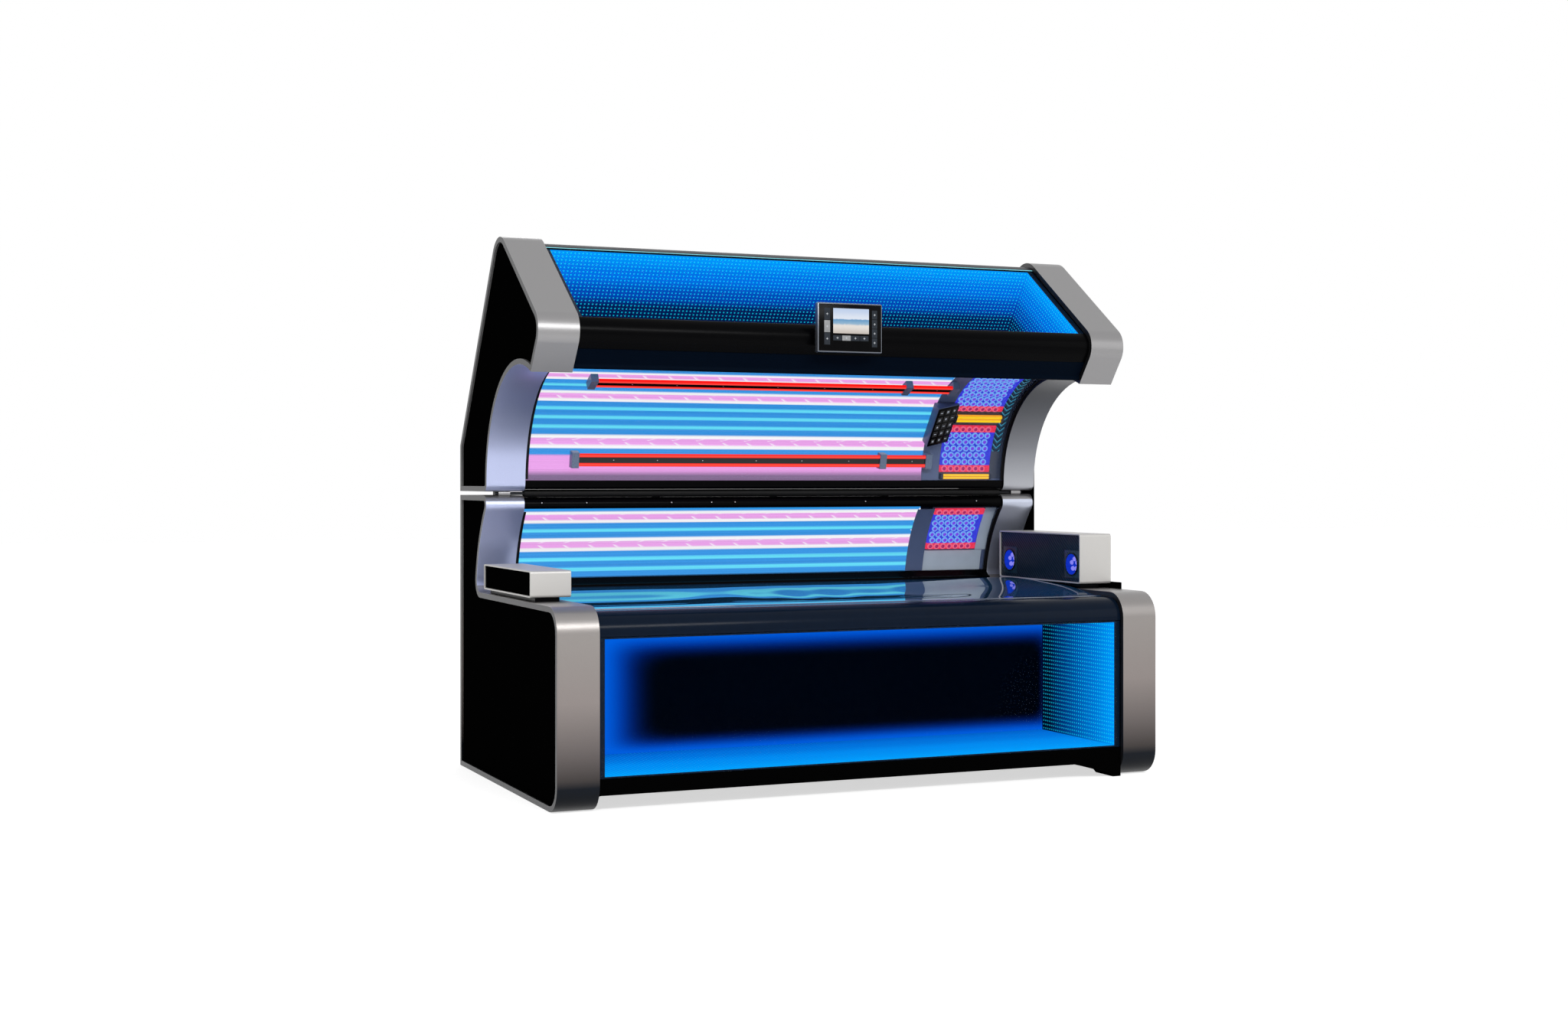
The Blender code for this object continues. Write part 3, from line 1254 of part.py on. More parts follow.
def head_spot(place):
    """Round dish with lenses, set into the grille."""
    y = SPOT_PLACES[place]
    face = HEAD_CONSOLE[0][0] + CONSOLE_WALL - BITE
    rim = SPOT_RADIUS - SPOT_RIM
    floor = face + SPOT_DISH
    body = ((face, y, SPOT_HEIGHT), (face + SPOT_DEPTH, y, SPOT_HEIGHT))
    spot = cylinder(f"head_spot_{place}", *body, SPOT_RADIUS, "spot_blue", 24)
    bm = bmesh.new()
    add_cone(bm, (face - BITE, y, SPOT_HEIGHT), (floor, y, SPOT_HEIGHT), rim, rim - SPOT_TAPER, segments=24)
    cut(spot, placed(f"spot_dish_{place}", bm, None))
    bm = bmesh.new()
    for index in range(SPOT_LENSES):
        angle = 90 + 360 / SPOT_LENSES * index
        centre = on_ring((y, SPOT_HEIGHT), SPOT_LENS_CIRCLE, angle)
        tip = (floor + BITE - SPOT_LENS_HEIGHT, *centre)
        add_cone(bm, (floor + BITE, *centre), tip, SPOT_LENS_RADIUS, SPOT_LENS_RADIUS * 0.64, segments=8)
    return fused(spot, placed(f"spot_lenses_{place}", bm, None))


# Assembly


def pivot(name, place, pieces):
    """An empty on a joint's axis, with the pieces that move about it."""
    empty = bpy.data.objects.new(name, None)
    empty.location = place
    PARTS.objects.link(empty)
    bpy.context.view_layer.update()
    for piece in pieces:
        piece.parent = empty
        piece.matrix_parent_inverse = empty.matrix_world.inverted()


def build_base():
    for side in (-1, 1):
        base_band(side)
        side_panel(f"base_side_panel_{END_NAMES[side]}", BASE_OUTLINE, side)
        lift_actuator(side)
        x = lift_centre(side)
        pivot(f"lift_axis_{END_NAMES[side]}", (x, CROSSHEAD_Y, STUD_Z), [lift_rod(side)])
        fan_axis = (FAN_PLACES[side], FAN_PLATE_Y - FAN_DEPTH / 2, FAN_HEIGHT)
        pivot(f"fan_axis_{END_NAMES[side]}", fan_axis, [fan_rotor(side)])
    head_end_shield()
    base_chassis()
    base_back_panel()
    fan_plate()
    power_unit()
    front_light_tray()
    front_light_glass()
    bench_bezel()
    bench_reflector()
    bench_lamp_bank()
    bench_corner_strip()
    base_hinge_rail()
    hinge_shaft()
    pivot("bench_axis", (0, BENCH_BACK, BENCH_HINGE_Z), [bench_acrylic()])
    wall = (WALL_CENTRE, WALL_RADIUS + ACRYLIC_DEPTH, ACRYLIC, CORNER_TOP)
    ring_sheet("rear_wall_acrylic", *wall, 40.5, 8, "clear_acrylic")
    back = (WALL_CENTRE, WALL_RADIUS + REFLECTOR_DEPTH, SHEET, CORNER_TOP)
    ring_sheet("rear_wall_reflector", *back, 41.0, 8, "reflector_sheet")
    lamp_bank("rear_wall_lamp_bank", WALL_CENTRE, WALL_RADIUS, REAR_ANGLES)
    start = ring_angle(WALL_CENTRE, WALL_RADIUS + COVER_DEPTH, CORNER_TOP + SEAT)
    face_carrier("rear_face_panel", WALL_CENTRE, WALL_RADIUS, start, 39.5, 8, "slate_cover")
    led_board("rear_led_board", WALL_CENTRE, WALL_RADIUS, *REAR_BOARD)


def build_consoles():
    console_shell("foot_console_shell", FOOT_CONSOLE)
    console_panel("foot_console_end_panel", FOOT_CONSOLE, "panel_black")
    console_pedestal("foot_console_pedestal", FOOT_CONSOLE, -1, FOOT_PEDESTAL)
    console_shell("head_console_shell", HEAD_CONSOLE)
    head_console_grille()
    for place in SPOT_PLACES:
        head_spot(place)
    console_pedestal("head_console_pedestal", HEAD_CONSOLE, 1, HEAD_PEDESTAL)


def build_canopy():
    pieces = []
    for side in (-1, 1):
        pieces.append(canopy_band(side))
        pieces.append(side_panel(f"canopy_side_panel_{END_NAMES[side]}", CANOPY_OUTLINE, side))
    pieces += [
        canopy_back_shell(),
        canopy_light_tray(),
        canopy_light_glass(),
        canopy_bezel(),
        canopy_fascia(),
        canopy_hinge_rail(),
    ]
    sheet = (TUNNEL_CENTRE, TUNNEL_RADIUS + ACRYLIC_DEPTH, ACRYLIC, HINGE_RAIL_TOP)
    pieces.append(ring_sheet("canopy_acrylic", *sheet, 107.0, 22, "clear_acrylic"))
    back = (TUNNEL_CENTRE, TUNNEL_RADIUS + REFLECTOR_DEPTH, SHEET, HINGE_RAIL_TOP)
    pieces.append(ring_sheet("canopy_reflector", *back, 103.0, 22, "reflector_sheet"))
    pieces.append(lamp_bank("canopy_lamp_bank", TUNNEL_CENTRE, TUNNEL_RADIUS, CANOPY_ANGLES))
    start = ring_angle(TUNNEL_CENTRE, TUNNEL_RADIUS + COVER_DEPTH, HINGE_RAIL_TOP + SEAT)
    pieces += [
        face_carrier("face_panel", TUNNEL_CENTRE, TUNNEL_RADIUS, start, 98.0, 18, "slate_cover"),
        led_board("face_led_board_lower", TUNNEL_CENTRE, TUNNEL_RADIUS, *LOWER_BOARD),
        led_board("face_led_board_upper", TUNNEL_CENTRE, TUNNEL_RADIUS, *UPPER_BOARD),
        face_lamp("face_lamp_upper", *UPPER_FACE_LAMP),
        face_lamp("face_lamp_lower", *LOWER_FACE_LAMP),
        red_rail("red_rail_upper", RED_RAIL_ANGLES["upper"]),
        red_rail("red_rail_lower", RED_RAIL_ANGLES["lower"]),
        inner_control_panel(),
        display_tablet(),
    ]
    pivot("canopy_axis", (0, HINGE_Y, HINGE_Z), pieces)


build_base()
build_consoles()
build_canopy()
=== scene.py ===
"""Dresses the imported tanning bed: silver end bands, glowing lamp banks, mirrored light boxes and consoles.

X runs along the bed, foot end at -X and head end at +X. The user steps in from -Y, and Z is up. Lengths are in
metres, and angles in degrees where they aren't said to be radians.
"""
import math

import bpy
from bpy.props import FloatProperty, FloatVectorProperty, PointerProperty
from bpy.types import Operator, Panel, PropertyGroup
from mathutils import Matrix, Vector


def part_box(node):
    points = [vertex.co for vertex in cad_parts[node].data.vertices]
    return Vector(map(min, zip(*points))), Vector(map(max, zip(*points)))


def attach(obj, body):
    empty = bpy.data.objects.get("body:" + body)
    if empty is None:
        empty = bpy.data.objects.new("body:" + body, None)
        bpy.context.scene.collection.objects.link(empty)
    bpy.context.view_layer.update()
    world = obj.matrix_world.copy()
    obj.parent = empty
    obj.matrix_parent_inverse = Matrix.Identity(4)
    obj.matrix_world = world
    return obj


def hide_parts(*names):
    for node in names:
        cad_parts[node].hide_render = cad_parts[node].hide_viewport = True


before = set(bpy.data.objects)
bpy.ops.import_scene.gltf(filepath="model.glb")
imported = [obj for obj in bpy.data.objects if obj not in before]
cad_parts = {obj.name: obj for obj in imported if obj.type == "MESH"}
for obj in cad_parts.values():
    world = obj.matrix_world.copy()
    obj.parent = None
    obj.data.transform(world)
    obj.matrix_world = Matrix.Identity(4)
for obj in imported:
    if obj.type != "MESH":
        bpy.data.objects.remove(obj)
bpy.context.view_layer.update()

bl_info = {
    "name": "Tanning bed finish",
    "version": (1, 0, 0),
    "blender": (4, 5, 0),
    "location": "View3D > Sidebar > Tanning bed",
    "description": "Models and paints the visible pieces of a lit tanning bed round its packed frame",
    "category": "Object",
}

# Arcs of the end profile, each a centre as (Y, Z) and a radius
TUNNEL, TUNNEL_RADIUS = (-0.174, 1.120), 0.430
WALL, WALL_RADIUS = (-0.124, 0.655), 0.5353

# Half the length between the end bands, the end walls of the light boxes, and the roof's slope in radians
SPAN = 1.0476
BOX_END = SPAN - 0.025
ROOF_SLOPE = math.radians(35.3)

# Depths behind the user's side of the tunnel or of the rear wall
ACRYLIC_DEPTH = 0.016
LAMP_DEPTH = 0.046
REFLECTOR_DEPTH = 0.072
CARRIER_DEPTH = 0.0363
SEAT = 0.0009

# Lamps and what is beside them, along X
LAMP_START, LAMP_END = -1.076, 0.684
BOARD_START, BOARD_END = 0.754, 0.990
PLATE_START = 0.7475
SIDE_START = 0.9955

# A lamp bank as centre, radius, first lamp's angle, each lamp's colour from the lowest up, and gaps of another colour
CANOPY_BANK = (TUNNEL, TUNNEL_RADIUS, 7.9, "ppPPBBBPPBPPBPPBPP", {1: "B"})
REAR_BANK = (WALL, WALL_RADIUS, 12.8, "BBPPBPP", {})

# Turns, in radians, that lay an upright cylinder along X or along Y
ALONG_X = (0, math.pi / 2, 0)
ALONG_Y = (math.pi / 2, 0, 0)

# The range that a noise mostly keeps to, as Map Range's inputs
SWING = {1: 0.3, 2: 0.7}

# Points that are closer than this are one, and edges flatter than this are shaded smooth
MERGE = 0.00001
SMOOTH_ANGLE = 38


def linear(hex_colour):
    """A colour written as sRGB hex, as the linear values that Blender's sockets take."""
    values = [int(hex_colour[place : place + 2], 16) / 255 for place in (1, 3, 5)]
    return [value / 12.92 if value <= 0.04045 else ((value + 0.055) / 1.055) ** 2.4 for value in values]


def clamp(value):
    return min(1.0, max(0.0, value))


def ease(value):
    value = clamp(value)
    return value * value * (3 - 2 * value)


def blend(first, second, share):
    return [a + (b - a) * share for a, b in zip(first, second)]


def length_property(name, description, metres):
    return FloatProperty(name=name, description=description, default=metres, unit="LENGTH")


def colour_property(name, description, hex_colour):
    return FloatVectorProperty(
        name=name, description=description, subtype="COLOR", size=3, min=0.0, max=1.0, default=linear(hex_colour)
    )


class BedSizes(PropertyGroup):
    """Sizes that a maker would change"""

    edge: length_property("Band edge", "Rounding along the end bands", 0.0022)
    lamp_radius: length_property("Lamp radius", "Radius of a tube", 0.019)
    lamp_pitch: length_property("Lamp pitch", "Spacing of tubes", 0.0432)
    dot_pitch: length_property("Dot pitch", "Spacing of light-box LEDs", 0.0155)
    dot_radius: length_property("Dot radius", "Radius of a light-box LED", 0.0031)
    lens_radius: length_property("Lens radius", "Radius of a face LED lens", 0.0134)
    tick_pitch: length_property("Tick pitch", "Spacing of glints on a tube", 0.103)


class BedColours(PropertyGroup):
    """Colours that a maker would change"""

    band: colour_property("Band", "Satin paint of the end bands", "#959493")
    # Painted reflection: the lavender that the lamps' light gives the foot end's inner arch
    foot_arch_reflection_colour: colour_property("Band inside", "Painted lamp reflection on the foot end's inner arch", "#bec6e4")
    console: colour_property("Console", "Paint of the shelf consoles", "#c6c4c1")
    box_bright: colour_property("Light box edge", "Light-box glow next to the glass", "#0098ff")
    box_dark: colour_property("Light box depth", "Light-box glow in its depth", "#001440")
    box_dot: colour_property("Light box LED", "Light-box LEDs", "#10d4ff")
    pink: colour_property("Pink glow", "Glow between pink tubes", "#f2a6ee")
    pink_core: colour_property("Pink core", "Core of a pink tube", "#ffffff")
    blue: colour_property("Blue glow", "Glow between blue tubes", "#3096e6")
    blue_core: colour_property("Blue core", "Core of a blue tube", "#66e6ff")
    red: colour_property("Red tube", "Red light tubes", "#ff1414")
    yellow: colour_property("Yellow tube", "Yellow face lamps", "#f8a000")


# Tools for the mesh work


def start():
    bpy.ops.object.select_all(action="DESELECT")


def take(obj):
    start()
    obj.select_set(True)
    bpy.context.view_layer.objects.active = obj
    return obj


def named(obj, name):
    obj.name = name
    obj.data.name = name
    return obj


def settle(name, matrix=None):
    """Names the new primitive and puts its place into its mesh."""
    obj = named(bpy.context.object, name)
    if matrix:
        obj.matrix_world = matrix @ obj.matrix_world
    bpy.ops.object.transform_apply(location=True, rotation=True, scale=True)
    return obj


def edit_all(obj):
    """Selects the whole mesh and leaves the object in edit mode."""
    take(obj)
    bpy.ops.object.mode_set(mode="EDIT")
    bpy.ops.mesh.select_all(action="SELECT")


def select_faces(obj, wanted):
    """Selects the faces whose centre and normal pass the test, and leaves the object in edit mode."""
    take(obj)
    bpy.ops.object.mode_set(mode="EDIT")
    bpy.ops.mesh.select_all(action="DESELECT")
    bpy.ops.mesh.select_mode(type="FACE")
    done()
    for face in obj.data.polygons:
        face.select = wanted(face.center, face.normal)
    bpy.ops.object.mode_set(mode="EDIT")


def done():
    bpy.ops.object.mode_set(mode="OBJECT")


def cleaned(obj):
    """Merges doubles and turns the faces outward."""
    edit_all(obj)
    bpy.ops.mesh.remove_doubles(threshold=MERGE)
    bpy.ops.mesh.normals_make_consistent(inside=False)
    done()
    return obj


def modified(obj, kind, **settings):
    """Adds a modifier with its settings and applies it."""
    take(obj)
    modifier = obj.modifiers.new(kind.lower(), kind)
    for name, value in settings.items():
        setattr(modifier, name, value)
    bpy.ops.object.modifier_apply(modifier=modifier.name)
    return obj


def smooth(obj, angle=SMOOTH_ANGLE):
    take(obj)
    bpy.ops.object.shade_smooth_by_angle(angle=math.radians(angle))
    return obj


def rounded(obj, width, segments=2, angle=40):
    limit = math.radians(angle)
    modified(
        obj, "BEVEL", width=width, segments=segments, limit_method="ANGLE", angle_limit=limit, use_clamp_overlap=True
    )
    return smooth(obj)


def box(name, low, high, edge, segments=2):
    start()
    size = [b - a for a, b in zip(low, high)]
    middle = [(a + b) / 2 for a, b in zip(low, high)]
    bpy.ops.mesh.primitive_cube_add(size=1, location=middle, scale=size)
    return rounded(settle(name), edge, segments)


def cylinder(name, sides, radius, depth, turn, place=(0, 0, 0)):
    start()
    bpy.ops.mesh.primitive_cylinder_add(vertices=sides, radius=radius, depth=depth, location=place, rotation=turn)
    return settle(name)


def rod(name, low, high, place, radius, sides, cap):
    """A tube along X with a stepped cap drawn out of each end."""
    obj = cylinder(name, sides, radius, high - low - 2 * cap, ALONG_X, ((low + high) / 2, *place))
    select_faces(obj, lambda centre, normal: abs(normal.x) > 0.9)
    bpy.ops.mesh.inset(thickness=radius * 0.35)
    bpy.ops.mesh.extrude_region_shrink_fatten(TRANSFORM_OT_shrink_fatten={"value": cap})
    done()
    return smooth(obj)


def curved_bar(name, centre, inner, outer, low, high, first, last, steps):
    """A flat bar along X, spun about the centre of its profile."""
    start()
    bpy.ops.mesh.primitive_plane_add(size=1)
    section = Matrix.Translation((0, (inner + outer) / 2, 0)) @ Matrix.Diagonal((high - low, outer - inner, 1, 1))
    turn = Matrix.Rotation(math.radians(first), 4, "X")
    obj = settle(name, Matrix.Translation(((low + high) / 2, *centre)) @ turn @ section)
    edit_all(obj)
    bpy.ops.mesh.spin(steps=steps, angle=-math.radians(last - first), center=(0, *centre), axis=(1, 0, 0))
    done()
    return smooth(cleaned(obj))


def copies(name, source, matrices):
    """The source repeated at each place and joined; the source goes."""
    made = []
    for matrix in matrices:
        copy = source.copy()
        copy.data = source.data.copy()
        copy.data.transform(matrix)
        bpy.context.scene.collection.objects.link(copy)
        made.append(copy)
    bpy.data.objects.remove(source)
    return joined(name, made)


def joined(name, objects):
    start()
    for obj in objects:
        obj.select_set(True)
    bpy.context.view_layer.objects.active = objects[0]
    if len(objects) > 1:
        bpy.ops.object.join()
    return named(bpy.context.object, name)


def recast(node, edge=0.0, segments=2, angle=40):
    """A copy of a CAD node with its triangles merged into plain faces and, where asked, its edges rounded."""
    obj = bpy.data.objects.new(node + "_shell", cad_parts[node].data.copy())
    bpy.context.scene.collection.objects.link(obj)
    obj.data.materials.clear()
    take(obj)
    bpy.ops.mesh.customdata_custom_splitnormals_clear()
    edit_all(obj)
    bpy.ops.mesh.remove_doubles(threshold=2 * MERGE)
    bpy.ops.mesh.dissolve_limited(angle_limit=math.radians(0.6))
    done()
    if not edge:
        return smooth(obj)
    # Flat faces stay flat beside their rounded edges
    return modified(rounded(obj, edge, segments, angle), "WEIGHTED_NORMAL", keep_sharp=True)


def dress(obj, body, slot, *finishes, nodes=()):
    """Gives a piece its finishes and its body, and hides the CAD nodes that it stands for; slot is not used."""
    for finish in finishes:
        obj.data.materials.append(finish)
    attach(obj, body)
    if nodes:
        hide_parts(*nodes)
    return obj


def shell(node, body, slot, finish, *edge):
    """A CAD node's copy in its finish."""
    return dress(recast(node, *edge), body, slot, finish, nodes=[node])


def second_finish(obj, wanted):
    """Gives the faces that pass the test the piece's second finish, and the others its first."""
    for face in obj.data.polygons:
        face.material_index = 1 if wanted(face.center, face.normal) else 0


def paint(finish, *names):
    """A better finish on CAD nodes whose shape stays."""
    for name in names:
        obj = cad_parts[name]
        obj.data.materials.clear()
        obj.data.materials.append(finish)


def on_ring(centre, radius, angle):
    turn = math.radians(angle)
    return (centre[0] + radius * math.cos(turn), centre[1] + radius * math.sin(turn))


def ring_place(centre, radius, angle, x=0.0):
    """Puts a shape made at the origin, facing -Y, onto a ring, facing the ring's centre."""
    turn = Matrix.Rotation(math.radians(angle), 4, "X")
    return Matrix.Translation((x, *centre)) @ turn @ Matrix.Translation((0, radius, 0))


def mark_core(obj, centre, ring, radius):
    """Writes how far each point of a tube faces the ring's centre."""
    core = obj.data.attributes.new("core", "FLOAT", "POINT")
    for vertex in obj.data.vertices:
        away = math.hypot(vertex.co.y - centre[0], vertex.co.z - centre[1])
        core.data[vertex.index].value = clamp((ring - away) / radius) ** 3


# Finishes


def feed(node, links):
    """Gives a node's inputs their values or the sockets that drive them."""
    for key, value in links.items():
        if isinstance(value, bpy.types.NodeSocket):
            node.id_data.links.new(value, node.inputs[key])
        else:
            node.inputs[key].default_value = value


def add(tree, kind, links, out=None, stops=(), run="LINEAR", **settings):
    """Adds one node with its settings and links, and returns the output of that name or else the first in use.

    stops are the places and colours of a ramp, its two ends first, and run is the way between them.
    """
    made = tree.nodes.new("ShaderNode" + kind)
    for index, (position, colour) in enumerate(stops):
        made.color_ramp.interpolation = run
        elements = made.color_ramp.elements
        stop = elements[index] if index < 2 else elements.new(position)
        stop.position = position
        stop.color = colour4(colour)
    for name, value in settings.items():
        setattr(made, name, value)
    feed(made, links)
    return made.outputs[out] if out else next(socket for socket in made.outputs if socket.enabled)


def fresh(name):
    material = bpy.data.materials.new(name)
    material.use_nodes = True
    return material, material.node_tree, material.node_tree.nodes["Principled BSDF"]


def colour4(colour):
    return (*(linear(colour) if isinstance(colour, str) else colour), 1.0)


def surface(name, colour, roughness, grain, bump=0.0, tint=0.12, stretch=(1, 1, 1), **sockets):
    """A painted, moulded or rolled surface: grain in millimetres drives its tint, its gloss and its bump."""
    material, tree, shader = fresh(name)
    place = add(tree, "TexCoord", {}, "Object")
    scaled = add(tree, "Mapping", {"Vector": place, "Scale": stretch})
    noise = add(tree, "TexNoise", {"Vector": scaled, "Scale": 1000 / grain, "Detail": 3.0})
    base = colour4(colour)[:3]
    low = (*[value * (1 - tint) for value in base], 1.0)
    high = (*[min(1.0, value * (1 + tint)) for value in base], 1.0)
    tinted = add(tree, "Mix", {"Factor": noise, "A": low, "B": high}, data_type="RGBA")
    gloss = add(tree, "MapRange", {0: noise, **SWING, 3: roughness[0], 4: roughness[1]})
    feed(shader, {"Base Color": tinted, "Roughness": gloss})
    if bump:
        relief = add(tree, "Bump", {"Height": noise, "Strength": bump, "Distance": grain / 4000})
        feed(shader, {"Normal": relief})
    feed(shader, {key.replace("_", " "): value for key, value in sockets.items()})
    return material


def band_paint(name, colour, low, high, stops):
    """Satin aluminium paint, sprayed: soft sheen with fine flake; the faces at the ends, which face along X, are
    darkened to dark grey.

    Painted shade and light: the coat is darkened or lightened by the stops between two heights.
    """
    material, tree, shader = fresh(name)
    place = add(tree, "TexCoord", {}, "Object")
    # Flake of about 0.3 mm is drawn at 2.5 mm so that it still shows
    flake = add(tree, "TexNoise", {"Vector": place, "Scale": 1000 / 2.5, "Detail": 2.0})
    # Faces that face along X, at the ends, are mixed toward dark grey
    side = add(tree, "SeparateXYZ", {0: add(tree, "NewGeometry", {}, "Normal")}, "X")
    side = add(tree, "Math", {0: side}, operation="ABSOLUTE")
    rim = add(tree, "MapRange", {0: side, 1: 0.80, 2: 0.98})
    base = colour4(colour)
    darker = (*[value * 0.86 for value in base[:3]], 1.0)
    tint = add(tree, "Mix", {"Factor": flake, "A": darker, "B": base}, data_type="RGBA")
    # Painted shade: the colour is multiplied by a ramp over the height
    height = add(tree, "SeparateXYZ", {0: place}, "Z")
    share = add(tree, "MapRange", {0: height, 1: low, 2: high})
    shade = add(tree, "ValToRGB", {0: share}, stops=stops)
    tint = add(tree, "VectorMath", {0: tint, 1: shade}, operation="MULTIPLY")
    coat = add(tree, "Mix", {"Factor": rim, "A": tint, "B": colour4("#2e2e30")}, data_type="RGBA")
    gloss = add(tree, "MapRange", {0: flake, **SWING, 3: 0.30, 4: 0.42})
    relief = add(tree, "Bump", {"Height": flake, "Strength": 0.08, "Distance": 0.0004})
    feed(shader, {"Base Color": coat, "Roughness": gloss, "Normal": relief, "Metallic": 0.75})
    return material


def clear_sheet(name, tint, opacity):
    """Polished acrylic or float glass, seen as a faint veil with a gloss on it."""
    material, tree, shader = fresh(name)
    place = add(tree, "TexCoord", {}, "Object")
    # Wipe marks about 60 mm across dull the gloss a little
    wipe = add(tree, "TexNoise", {"Vector": place, "Scale": 1000 / 60, "Detail": 2.0})
    gloss = add(tree, "MapRange", {0: wipe, **SWING, 3: 0.04, 4: 0.10})
    feed(shader, {"Base Color": colour4(tint), "Roughness": gloss, "Alpha": opacity, "Specular IOR Level": 0.15})
    return material


def glowing(name, roughness=0.25):
    """A dark surface that sends out its own light; its colour is linked by the caller."""
    material, tree, shader = fresh(name)
    dark = {"Base Color": colour4("#020203"), "Roughness": roughness, "Specular IOR Level": 0.0}
    feed(shader, {**dark, "Emission Strength": 1.0})
    return material, tree, shader


def light_box(name, origin, depth_axis, along_axis, depth, floor_from, ramp, end_dark, glow, scene):
    """Mirrored light box: the mirror images of its LEDs are painted as rows of dots that recede along its walls, over a
    painted glow that dims with depth.

    origin is a point on the inside of the glass. glow gives the back wall's four lit edges, each as its axis, the
    sign and the limit that measure the way in from it, and how fast it fades, or nothing where there is no back wall.
    """
    sizes, colours = scene.bed_sizes, scene.bed_colours
    material, tree, shader = glowing(name, 0.12)
    place = add(tree, "TexCoord", {}, "Object")
    inside = add(tree, "VectorMath", {0: place, 1: origin}, operation="SUBTRACT")
    deep = add(tree, "VectorMath", {0: inside, 1: depth_axis}, operation="DOT_PRODUCT")
    along = add(tree, "VectorMath", {0: inside, 1: along_axis}, operation="DOT_PRODUCT")
    x = add(tree, "SeparateXYZ", {0: place}, "X")
    reach = add(tree, "Math", {0: x}, operation="ABSOLUTE")
    at_end = add(tree, "Math", {0: reach, 1: BOX_END - 0.0008}, operation="GREATER_THAN")
    across = add(tree, "Mix", {"Factor": at_end, "A": x, "B": along})
    # On a floor that slopes up to the glass the rows are spaced along the slope
    on_floor = add(tree, "Math", {0: along, 1: floor_from}, operation="GREATER_THAN")
    on_floor = add(tree, "Math", {0: on_floor, 1: at_end}, operation="SUBTRACT", use_clamp=True)
    row = add(tree, "Mix", {"Factor": on_floor, "A": deep, "B": along})
    cell = add(tree, "CombineXYZ", {"X": across, "Y": row})
    cell = add(tree, "VectorMath", {0: cell, "Scale": 1 / sizes.dot_pitch}, operation="SCALE")
    cell = add(tree, "VectorMath", {0: cell}, operation="FRACTION")
    cell = add(tree, "VectorMath", {0: cell, 1: (0.5, 0.5, 0.0)}, operation="SUBTRACT")
    away = add(tree, "VectorMath", {0: cell}, operation="LENGTH")
    # A dot's edge is soft over a third of its radius to each side
    radius = sizes.dot_radius / sizes.dot_pitch
    dot = add(tree, "MapRange", {0: away, 1: radius * 1.35, 2: radius * 0.65}, interpolation_type="SMOOTHSTEP")
    share = add(tree, "MapRange", {0: deep, 1: 0.0, 2: depth})
    fade = add(tree, "MapRange", {0: share, 1: 0.0, 2: 1.0, 3: 1.0, 4: 0.55})
    lit = add(tree, "Math", {0: dot, 1: fade}, operation="MULTIPLY")
    wall = add(tree, "ValToRGB", {0: share}, stops=ramp, run="EASE")
    # The end walls go dark in their depth, but their dots stay lit
    dim = add(tree, "MapRange", {0: share, 1: 0.0, 2: 0.9, 3: 1.0, 4: end_dark})
    dim = add(tree, "Mix", {"Factor": at_end, "A": 1.0, "B": dim})
    wall = add(tree, "VectorMath", {0: wall, "Scale": dim}, operation="SCALE")
    result = add(tree, "Mix", {"Factor": lit, "A": wall, "B": colour4(colours.box_dot)}, data_type="RGBA")
    if glow:
        edge = None
        for axis, sign, limit, scale in glow:
            way = {0: x if axis == "x" else along, 1: sign * scale, 2: limit * scale}
            away = add(tree, "Math", way, operation="MULTIPLY_ADD")
            if edge:
                away = add(tree, "Math", {0: edge, 1: away, 2: 0.18}, operation="SMOOTH_MIN")
            edge = away
        halo = add(tree, "MapRange", {0: edge, 1: 0.0, 2: 0.190})
        stops = ((0.0, "#0064e8"), (1.0, "#000000"), (0.25, "#0044bc"), (0.5, "#001c66"), (0.75, "#000618"))
        halo = add(tree, "ValToRGB", {0: halo}, stops=stops, run="B_SPLINE")
        at_back = add(tree, "Math", {0: deep, 1: depth - 0.0015}, operation="GREATER_THAN")
        result = add(tree, "Mix", {"Factor": at_back, "A": result, "B": halo}, data_type="RGBA")
    feed(shader, {"Emission Color": result})
    return material


def lamp_glow(tick_pitch):
    """Lit phosphor tube behind its glass: a bright core, long soft streaks and small glints on the pink ones."""
    material, tree, shader = glowing("lit_lamp_glass")
    glow = add(tree, "Attribute", {}, "Color", attribute_name="glow")
    glint = add(tree, "Attribute", {}, "Fac", attribute_name="glint")
    place = add(tree, "TexCoord", {}, "Object")
    # Streaks run the length of a tube and are about 6 mm wide
    drawn = add(tree, "Mapping", {"Vector": place, "Scale": (0.35, 160.0, 160.0)})
    streak = add(tree, "TexNoise", {"Vector": drawn, "Scale": 1.0, "Detail": 2.0})
    level = add(tree, "MapRange", {0: streak, **SWING, 3: 0.88, 4: 1.08})
    lit = add(tree, "VectorMath", {0: glow, "Scale": level}, operation="SCALE")
    # A glint leans across the flank of its tube, once in each pitch
    x = add(tree, "SeparateXYZ", {0: place}, "X")
    turns = add(tree, "Math", {0: x, 1: 1 / tick_pitch}, operation="MULTIPLY")
    lean = add(tree, "Math", {0: glint, 1: 0.8, 2: turns}, operation="MULTIPLY_ADD")
    cell = add(tree, "Math", {0: lean}, operation="FRACT")
    near = add(tree, "MapRange", {0: cell, 1: 0.16, 2: 0.02})
    shown = add(tree, "MapRange", {0: glint, 1: 0.10, 2: 0.20})
    hidden = add(tree, "MapRange", {0: glint, 1: 0.40, 2: 0.34})
    tick = add(tree, "Math", {0: near, 1: shown}, operation="MULTIPLY")
    tick = add(tree, "Math", {0: tick, 1: hidden}, operation="MULTIPLY")
    result = add(tree, "Mix", {"Factor": tick, "A": lit, "B": colour4("#fff4ff")}, data_type="RGBA")
    feed(shader, {"Emission Color": result})
    return material


